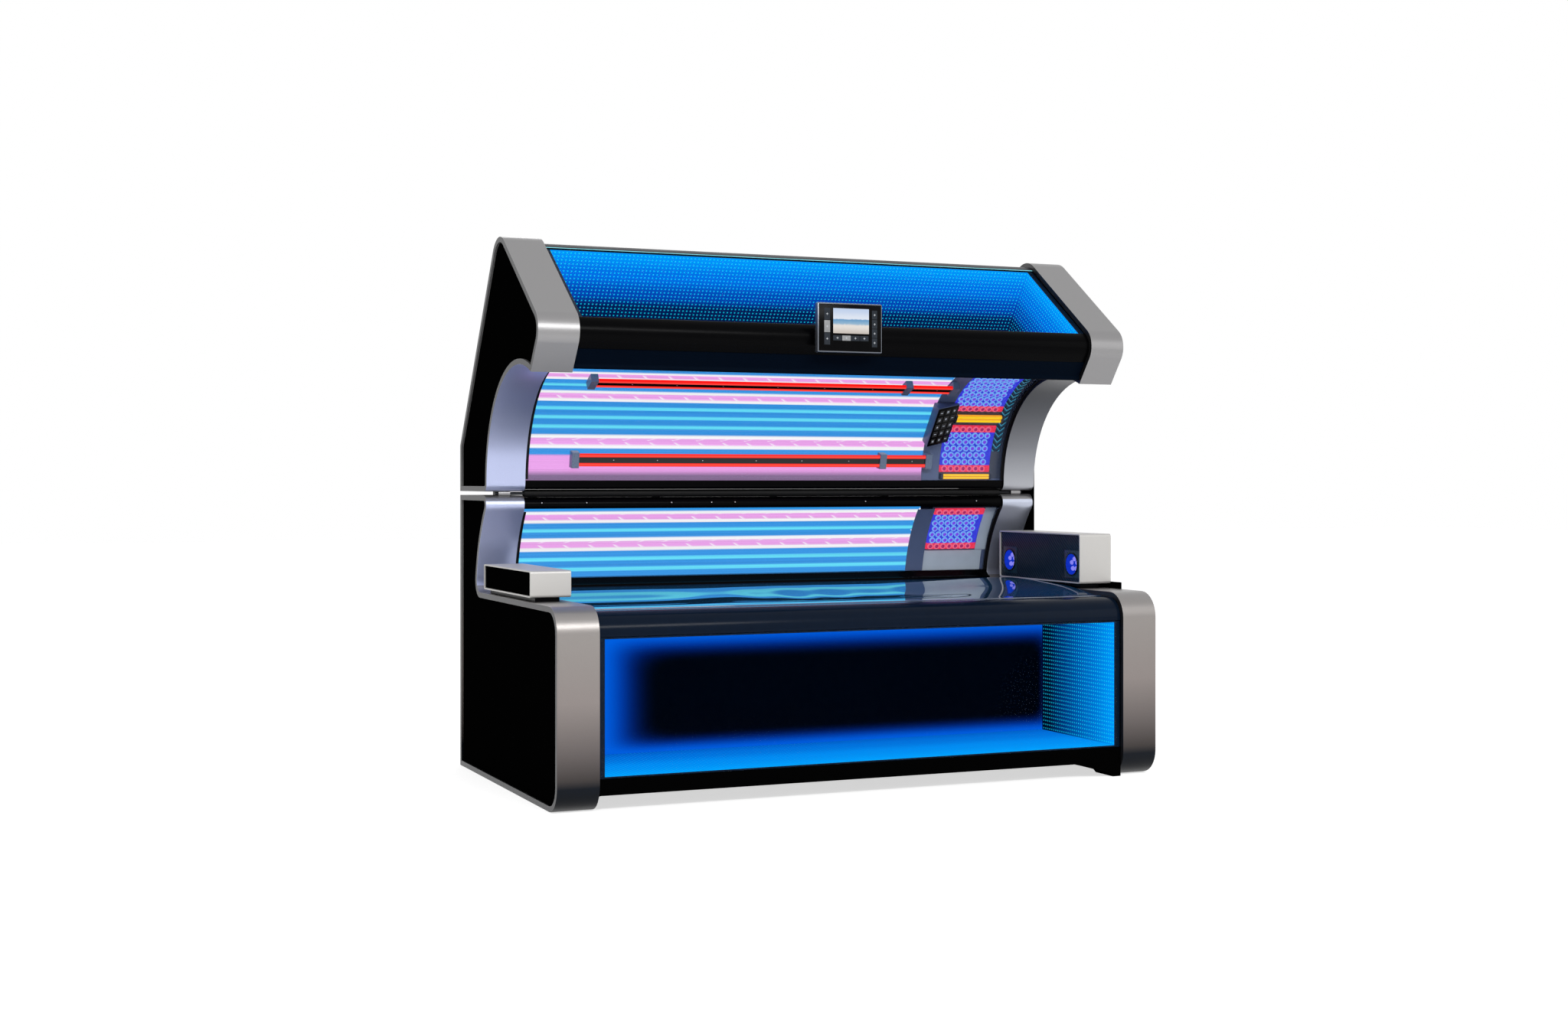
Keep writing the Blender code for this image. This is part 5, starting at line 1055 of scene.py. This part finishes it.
class BED_OT_keypad(Operator):
    """Keypad housing inside the canopy with its keys"""

    bl_idname = "bed.keypad"
    bl_label = "Keypad"

    # The housing's start along X, its length, its depth at either end, its half width and its angle on the tunnel
    begin, length, deep, shallow, half, angle = 0.645, 0.115, 0.050, 0.012, 0.095, 36.0
    # Half the face plate, the rows and columns of keys, the first key's place, the spacing, and half a key in the
    # end rows and in the others
    face_half, rows, columns = (0.0585, 0.0925), 5, 3
    first_key, key_step, end_key, middle_key = (-0.036, 0.070), (0.036, 0.035), 0.0115, 0.0135
    # The plain printed signs, each of bars given by their shift, half width and half height
    signs = (
        ((0.0, 0.006, 0.001),),
        ((-0.003, 0.001, 0.005), (0.003, 0.001, 0.005)),
        ((0.0, 0.005, 0.001), (0.0, 0.001, 0.005)),
    )

    def execute(self, context):
        shell("inner_control_panel", "canopy", "device_black", FINISH["slate"])
        face = self.face()
        wide, tall = self.face_half
        self.put(box("keypad_face", (-wide, -tall, 0.0), (wide, tall, 0.0012), 0.0010), face, FINISH["trim"])
        keys, marks = [], []
        for row in range(self.rows):
            size = self.end_key if row in (0, self.rows - 1) else self.middle_key
            for column in range(self.columns):
                x = self.first_key[0] + self.key_step[0] * column
                y = self.first_key[1] - self.key_step[1] * row
                keys.append(box("key", (x - size, y - size, 0.0010), (x + size, y + size, 0.0026), 0.0012, 1))
                for shift, w, h in self.signs[(row + column) % len(self.signs)]:
                    low, high = (x + shift - w, y - h, 0.0024), (x + shift + w, y + h, 0.0030)
                    marks.append(box("mark", low, high, 0.0002, 1))
        # Moulded silicone: soft black without a sharp highlight
        silicone = surface("black_silicone_keys", "#0a0a0d", (0.35, 0.50), 3.0, 0.08, Specular_IOR_Level=0.2)
        self.put(joined("keypad_keys", keys), face, silicone)
        # Painted light: the pale print glows with a light of its own
        self.put(joined("keypad_marks", marks), face, glow_plain("pale_key_print", "#ccd4e4", 0.9))
        return {"FINISHED"}

    def put(self, obj, face, finish):
        """Lays a piece made flat at the origin on the face."""
        obj.data.transform(face)
        dress(obj, "canopy", "device_black", finish)

    def face(self):
        """The middle of the housing's sloping face, with Z out of it."""
        back = math.sqrt((TUNNEL_RADIUS + ACRYLIC_DEPTH - 0.0004) ** 2 - self.half**2)
        turn = math.radians(self.angle)
        out = Vector((0, math.cos(turn), math.sin(turn)))
        along = Vector((0, math.sin(turn), -math.cos(turn)))
        lean = math.atan2(self.deep - self.shallow, self.length)
        slope = math.cos(lean) * Vector((1, 0, 0)) + math.sin(lean) * out
        normal = slope.cross(along)
        normal = normal if normal.dot(out) < 0 else -normal
        corner = Vector((self.begin, *TUNNEL)) + (back - self.deep) * out
        face = Matrix.Identity(4)
        middle = corner + slope * (self.length / math.cos(lean) / 2)
        for column, axis in enumerate((slope, normal.cross(slope), normal, middle)):
            face.col[column][:3] = axis
        return face


class BED_OT_tablet(Operator):
    """Display tablet with a plain screen and bare keys"""

    bl_idname = "bed.tablet"
    bl_label = "Tablet"

    # The picture's sides and heights, and the frame's width round the glass
    picture, rim = ((-0.0836, 0.0623), (1.6755, 1.768)), 0.0045
    # Columns of keys as their sides, first top, spacing, height, count and which is light, and the row below likewise
    columns = (((-0.120, -0.0965), 1.768, 0.0458, 0.0438, 3, 1), ((0.0748, 0.0965), 1.7635, 0.0345, 0.0325, 4, None))
    row = ((1.6490, 1.6680), -0.0836, 0.0365, 0.0345, 4, 1)

    def execute(self, context):
        node = "display_tablet"
        # Anodised aluminium, bead blasted: a satin grey frame
        anodised = surface("satin_anodised_aluminium", "#6c7078", (0.30, 0.40), 2.0, 0.04, 0.06, Metallic=0.8)
        shell(node, "canopy", "device_black", anodised)
        low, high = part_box(node)
        self.front = low.y
        # Printed cover glass with a matt coat: black, with next to no reflection
        cover = surface("coated_cover_glass", "#050506", (0.20, 0.30), 50.0, Specular_IOR_Level=0.04)
        across, upright = (low.x + self.rim, high.x - self.rim), (low.z + self.rim, high.z - self.rim)
        dress(self.flat("tablet_glass", across, upright, 0.0012, -0.0010, 0.0010, 2), "canopy", "device_black", cover)
        picture = self.flat("tablet_picture", *self.picture, 0.0018, 0.0008, 0.0003)
        dress(picture, "canopy", "device_black", self.horizon())
        dark, light, signs = [], [], []
        for sides, top, step, height, count, pale in self.columns:
            for index in range(count):
                z = top - step * index
                self.tile(light if index == pale else dark, signs, sides, (z - height, z))
        upright, left, step, width, count, pale = self.row
        for index in range(count):
            x = left + step * index
            self.tile(light if index == pale else dark, signs, (x, x + width), upright)
        for name, pieces, finish, colour in (
            ("tablet_dark_keys", dark, "dark_screen_key", "#3c4148"),
            ("tablet_light_keys", light, "light_screen_key", "#b4b6b8"),
            ("tablet_signs", signs, "screen_sign", "#e4e8ee"),
        ):
            dress(joined(name, pieces), "canopy", "device_black", glow_plain(finish, colour, 0.8))
        return {"FINISHED"}

    def flat(self, name, across, upright, out, back, edge, segments=1):
        """A thin plate on the tablet, from back to out in front of its face."""
        low = (across[0], self.front - out, upright[0])
        return box(name, low, (across[1], self.front - back, upright[1]), edge, segments)

    def tile(self, tiles, signs, across, upright):
        """A key on the screen with a plain bar or cross."""
        tiles.append(self.flat("tile", across, upright, 0.0018, 0.0008, 0.0003))
        x, z = sum(across) / 2, sum(upright) / 2
        thin, half = 0.0008, min(0.004, (across[1] - across[0]) / 5)
        signs.append(self.flat("sign", (x - half, x + half), (z - thin, z + thin), 0.0021, 0.0016, 0.0001))
        if len(signs) % 2:
            signs.append(self.flat("sign", (x - thin, x + thin), (z - half, z + half), 0.0021, 0.0016, 0.0001))

    def horizon(self):
        """A lit screen with a plain sky over water and sand."""
        material, tree, shader = glowing("lit_display_panel", 0.1)
        place = add(tree, "TexCoord", {}, "Object")
        ripple = add(tree, "TexNoise", {"Vector": place, "Scale": 1000 / 9, "Detail": 3.0})
        height = add(tree, "SeparateXYZ", {0: place}, "Z")
        low, high = self.picture[1]
        share = add(tree, "MapRange", {0: height, 1: low, 2: high})
        share = add(tree, "Math", {0: ripple, 1: 0.06, 2: share}, operation="MULTIPLY_ADD")
        stops = (
            (0.0, "#c8bfb6"), (1.0, "#c2d2ec"), (0.34, "#e6e0da"), (0.44, "#8fb4d0"), (0.58, "#6f9fc8"),
            (0.62, "#dfe6f2"),
        )
        feed(shader, {"Emission Color": add(tree, "ValToRGB", {0: share}, stops=stops, run="EASE")})
        return material


class BED_OT_consoles(Operator):
    """Shelf consoles, the ribbed grille and its two spots"""

    bl_idname = "bed.consoles"
    bl_label = "Consoles"

    # The spots' height and radius, half their plate, and the lenses' count, radius and ring
    height, radius, plate_half = 0.797, 0.048, 0.055
    lenses, lens_radius, lens_ring = 5, 0.0095, 0.021

    def execute(self, context):
        for end in ("foot", "head"):
            shell(f"{end}_console_shell", "base", "console_silver", FINISH["console"], 0.0020, 3, 40)
        shell("foot_console_end_panel", "base", "panel_black", FINISH["panel"], 0.0008)
        shell("head_console_grille", "base", "slate_cover", self.ribbed(), 0.0006)
        for place, y in (("rear", 0.212), ("front", -0.280)):
            self.spot(place, y)
        return {"FINISHED"}

    def ribbed(self):
        """Moulded ABS with slanting wavy ribs, one in every 12 mm: dark slate, with a painted sheen that makes each rib
        lighter.
        """
        material, tree, shader = fresh("slate_ribbed_grille")
        place = add(tree, "TexCoord", {}, "Object")
        turned = add(tree, "Mapping", {"Vector": place, "Rotation": (-0.7, 0.0, 0.0)})
        # A wave's period is a turn over 20 times the scale
        waves = {"Scale": 1000 / 12.0 / 20 * 6.283, "Distortion": 2.5, "Detail": 1.0, "Detail Scale": 0.8}
        ribs = add(
            tree, "TexWave", {"Vector": turned, **waves}, "Fac", wave_type="BANDS", bands_direction="Z"
        )
        # Painted sheen: the ribs' colour runs from dark to lighter across each rib
        painted_rib_sheen = {"A": colour4("#04101a"), "B": colour4("#10283c")}
        mixed = add(tree, "Mix", {"Factor": ribs, **painted_rib_sheen}, data_type="RGBA")
        relief = add(tree, "Bump", {"Height": ribs, "Strength": 0.5, "Distance": 0.0015})
        feed(shader, {"Base Color": mixed, "Normal": relief, "Roughness": 0.30})
        feed(shader, {"Specular IOR Level": 0.12, "Coat Weight": 0.05})
        return material

    def spot(self, place, y):
        """Dished ring with five lit lenses on a square plate."""
        node = "head_spot_" + place
        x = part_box(node)[0].x
        height, half = self.height, self.plate_half
        low, high = (x - 0.0008, y - half, height - half), (x + 0.0008, y + half, height + half)
        plate = box(f"spot_plate_{place}", low, high, 0.0006)
        hole = cylinder("spot_hole", 40, self.radius - 0.0015, 0.02, ALONG_X, (x, y, height))
        modified(plate, "BOOLEAN", object=hole, solver="EXACT")
        bpy.data.objects.remove(hole)
        # Satin paint: dark teal with a soft sheen
        teal = surface("teal_satin_plate", "#10303e", (0.25, 0.38), 6.0, 0.05)
        dress(smooth(plate), "base", "spot_blue", teal)
        ring = cylinder(f"spot_ring_{place}", 40, self.radius - 0.001, 0.030, ALONG_X, (x + 0.011, y, height))
        select_faces(ring, lambda centre, normal: normal.x < -0.9)
        bpy.ops.mesh.inset(thickness=0.006)
        bpy.ops.mesh.inset(thickness=0.007, depth=-0.018)
        done()
        ring.data.materials.append(FINISH["device"])
        # Painted light: the dish glows blue, for the light of its lenses on it
        ring.data.materials.append(glow_plain("blue_spot_dish", "#1438d8", 0.75, 9.0))
        dish, floor = self.radius - 0.0075, x + 0.020
        second_finish(
            ring,
            lambda centre, normal: math.hypot(centre.y - y, centre.z - height) < dish
            and normal.x < 0.2 and centre.x < floor,
        )
        dress(rounded(ring, 0.0012, 2, 60), "base", "spot_blue", nodes=[node])
        start()
        bpy.ops.mesh.primitive_uv_sphere_add(segments=14, ring_count=8, radius=self.lens_radius)
        lens = settle("spot_lens")
        select_faces(lens, lambda centre, normal: centre.x > 0.001)
        bpy.ops.mesh.delete(type="FACE")
        done()
        smooth(lens)
        places = []
        for index in range(self.lenses):
            spread = on_ring((y, height), self.lens_ring, 90 + 360 / self.lenses * index)
            places.append(Matrix.Translation((x + 0.0135, *spread)))
        lit = glow_plain("violet_lens_glow", "#8f8cff", 0.9, 4.0)
        dress(copies(f"spot_lenses_{place}", lens, places), "base", "spot_blue", lit)


class BED_OT_bench(Operator):
    """Bench acrylic: a shallow trough that rises to a low pillow at the head end"""

    bl_idname = "bed.bench"
    bl_label = "Bench"

    # The sheet's front and back, its flat ledge at the front and that ledge's height
    front, back, ledge, edge_top = -0.500, 0.372, 0.035, 0.6839
    # Rise to the back, depth of the trough, height, start and run of the pillow, and thickness of the sheet
    rise, trough, pillow, pillow_start, pillow_run, thickness = 0.030, 0.024, 0.046, 0.450, 0.500, 0.008
    # Swells along the trough as height, place and width, and fine ribs likewise with their waves in radians a metre
    swells = ((0.008, -0.42, 0.20), (-0.004, -0.02, 0.24))
    ribs, rib_waves = (0.0009, 0.02, 0.24), 34.0

    def execute(self, context):
        start()
        bpy.ops.mesh.primitive_grid_add(x_subdivisions=96, y_subdivisions=48, size=2)
        obj = settle("bench_sheet")
        for vertex in obj.data.vertices:
            x = vertex.co.x * SPAN
            y = self.front + (self.back - self.front) * (vertex.co.y + 1) / 2
            vertex.co = (x, y, self.height(x, y))
        modified(obj, "SOLIDIFY", thickness=self.thickness, offset=-1.0)
        rounded(obj, 0.0012, 2, 60)
        # Smoked acrylic, vacuum formed and polished: dark navy with mirror-like reflections of the lamps,
        # and a faint blue glow painted on the sheet for the light that the bench's own lamps send up through it
        smoked = surface(
            "smoked_acrylic_sheet", "#0c1c34", (0.03, 0.07), 70.0, 0.0, 0.15,
            Coat_Weight=1.0, Coat_Roughness=0.02, Specular_IOR_Level=0.8,
            Emission_Color=colour4("#0c3658"), Emission_Strength=0.6,
        )
        dress(obj, "bench_lid", "bench_acrylic", smoked, nodes=["bench_acrylic"])
        return {"FINISHED"}

    def height(self, x, y):
        """Top of the sheet at a place."""
        inside = self.front + self.ledge
        share = clamp((y - inside) / (self.back - inside))
        across = math.sin(math.pi * share)
        swell = sum(self.bell(x, *bell) for bell in self.swells)
        swell += math.sin(self.rib_waves * x) * self.bell(x, *self.ribs)
        pillow = self.pillow * across**1.2 * ease((x - self.pillow_start) / self.pillow_run)
        return self.edge_top + self.rise * share - self.trough * across**2.2 + swell * across**2 + pillow

    def bell(self, x, height, middle, width):
        return height * math.exp(-(((x - middle) / width) ** 2))


class BED_OT_inside(Operator):
    """Fans, power unit, hinge shaft and lift inside the base"""

    bl_idname = "bed.inside"
    bl_label = "Inside"

    def execute(self, context):
        works = (
            ("fan_plate", "base", "sheet_grey", "sheet"),
            ("power_unit", "base", "ballast_black", "dark_steel"),
            ("hinge_shaft", "base", "steel_dark", "dark_steel"),
            ("lift_actuator_foot", "base", "steel_dark", "dark_steel"),
            ("lift_actuator_head", "base", "steel_dark", "dark_steel"),
            ("lift_rod_foot", "lift_rod_foot", "steel_dark", "steel"),
            ("lift_rod_head", "lift_rod_head", "steel_dark", "steel"),
            ("fan_rotor_foot", "fan_rotor_foot", "ballast_black", "fan"),
            ("fan_rotor_head", "fan_rotor_head", "ballast_black", "fan"),
        )
        for node, body, slot, finish in works:
            shell(node, body, slot, FINISH[finish], 0.0006, 1, 50)
        return {"FINISHED"}


class BED_OT_stage(Operator):
    """Pale floor, soft studio light and the camera"""

    bl_idname = "bed.stage"
    bl_label = "Stage"

    # An area light's name, place, target, size in metres and power in watts
    softboxes = (
        ("key_strip", (-0.8, -4.6, 3.3), (-0.8, -0.3, 1.3), (4.5, 0.8), 150.0),
        ("fill_softbox", (4.2, -4.0, 2.6), (0.4, 0.0, 0.9), (3.0, 3.0), 24.0),
        ("back_softbox", (0.0, 4.5, 3.5), (0.0, 0.0, 1.0), (3.5, 2.0), 38.0),
    )
    # The camera's place, its turn about Z, its focal length and frame in the photograph's pixels, and its sensor in mm
    eye, bearing, focal, frame_width, sensor, shift = (-3.1483, -7.0699, 1.1339), -23.457, 2580.47, 2048, 36.0, -0.0185

    def execute(self, context):
        start()
        bpy.ops.mesh.primitive_plane_add(size=60)
        floor = settle("studio_floor")
        # Painted studio floor: matt and nearly white, with a faint cloud
        material, tree, shader = fresh("white_studio_floor")
        place = add(tree, "TexCoord", {}, "Object")
        cloud = add(tree, "TexNoise", {"Vector": place, "Scale": 2.0})
        level = add(tree, "MapRange", {0: cloud, 3: 0.80, 4: 0.84})
        lift = add(tree, "Math", {0: self.seen(tree), 1: 0.64}, operation="MULTIPLY")
        feed(shader, {"Base Color": level, "Roughness": 0.9, "Emission Color": (1, 1, 1, 1), "Emission Strength": lift})
        floor.data.materials.append(material)
        self.world(context.scene)
        self.lights(context.scene)
        self.camera(context.scene)
        context.scene.view_settings.view_transform = "Standard"
        return {"FINISHED"}

    def seen(self, tree):
        """1 for rays that show the backdrop itself, straight or in metal and glass."""
        path = add(tree, "LightPath", {}).node.outputs
        seen = add(tree, "Math", {0: path["Is Camera Ray"], 1: path["Is Glossy Ray"]}, operation="MAXIMUM")
        return add(tree, "Math", {0: seen, 1: path["Is Transmission Ray"]}, operation="MAXIMUM")

    def world(self, scene):
        scene.world = bpy.data.worlds.new("studio")
        scene.world.use_nodes = True
        tree = scene.world.node_tree
        level = add(tree, "MapRange", {0: self.seen(tree), 3: 0.45, 4: 1.0})
        feed(tree.nodes["Background"], {"Color": (1, 1, 1, 1), "Strength": level})

    def lights(self, scene):
        for name, place, target, size, power in self.softboxes:
            data = bpy.data.lights.new(name, "AREA")
            data.energy = power
            data.shape = "RECTANGLE"
            data.size, data.size_y = size
            lamp = bpy.data.objects.new(name, data)
            lamp.location = place
            lamp.rotation_euler = (Vector(target) - Vector(place)).to_track_quat("-Z", "Y").to_euler()
            scene.collection.objects.link(lamp)

    def camera(self, scene):
        data = bpy.data.cameras.new("photo_camera")
        data.sensor_width = self.sensor
        data.lens = self.focal / self.frame_width * self.sensor
        data.shift_y = self.shift
        camera = bpy.data.objects.new("photo_camera", data)
        camera.location = self.eye
        camera.rotation_euler = (math.radians(90), 0.0, math.radians(self.bearing))
        scene.collection.objects.link(camera)
        scene.camera = camera


class BED_PT_sidebar(Panel):
    """Lists the pieces of the bed"""

    bl_idname = "BED_PT_sidebar"
    bl_label = "Tanning bed"
    bl_space_type = "VIEW_3D"
    bl_region_type = "UI"
    bl_category = "Tanning bed"

    def draw(self, context):
        for group in (context.scene.bed_sizes, context.scene.bed_colours):
            for name in group.__annotations__:
                self.layout.prop(group, name)
        for step in STEPS:
            self.layout.operator(step.bl_idname)


STEPS = (
    BED_OT_bands,
    BED_OT_trims,
    BED_OT_light_boxes,
    BED_OT_lamps,
    BED_OT_face_zone,
    BED_OT_red_rails,
    BED_OT_keypad,
    BED_OT_tablet,
    BED_OT_consoles,
    BED_OT_bench,
    BED_OT_inside,
    BED_OT_stage,
)
CLASSES = (BedSizes, BedColours, *STEPS, BED_PT_sidebar)


def register():
    for cls in CLASSES:
        bpy.utils.register_class(cls)
    bpy.types.Scene.bed_sizes = PointerProperty(type=BedSizes)
    bpy.types.Scene.bed_colours = PointerProperty(type=BedColours)


def unregister():
    del bpy.types.Scene.bed_colours
    del bpy.types.Scene.bed_sizes
    for cls in reversed(CLASSES):
        bpy.utils.unregister_class(cls)


def main():
    register()
    make_finishes(bpy.context.scene)
    for step in STEPS:
        area, name = step.bl_idname.split(".")
        getattr(getattr(bpy.ops, area), name)()


if __name__ == "__main__":
    main()
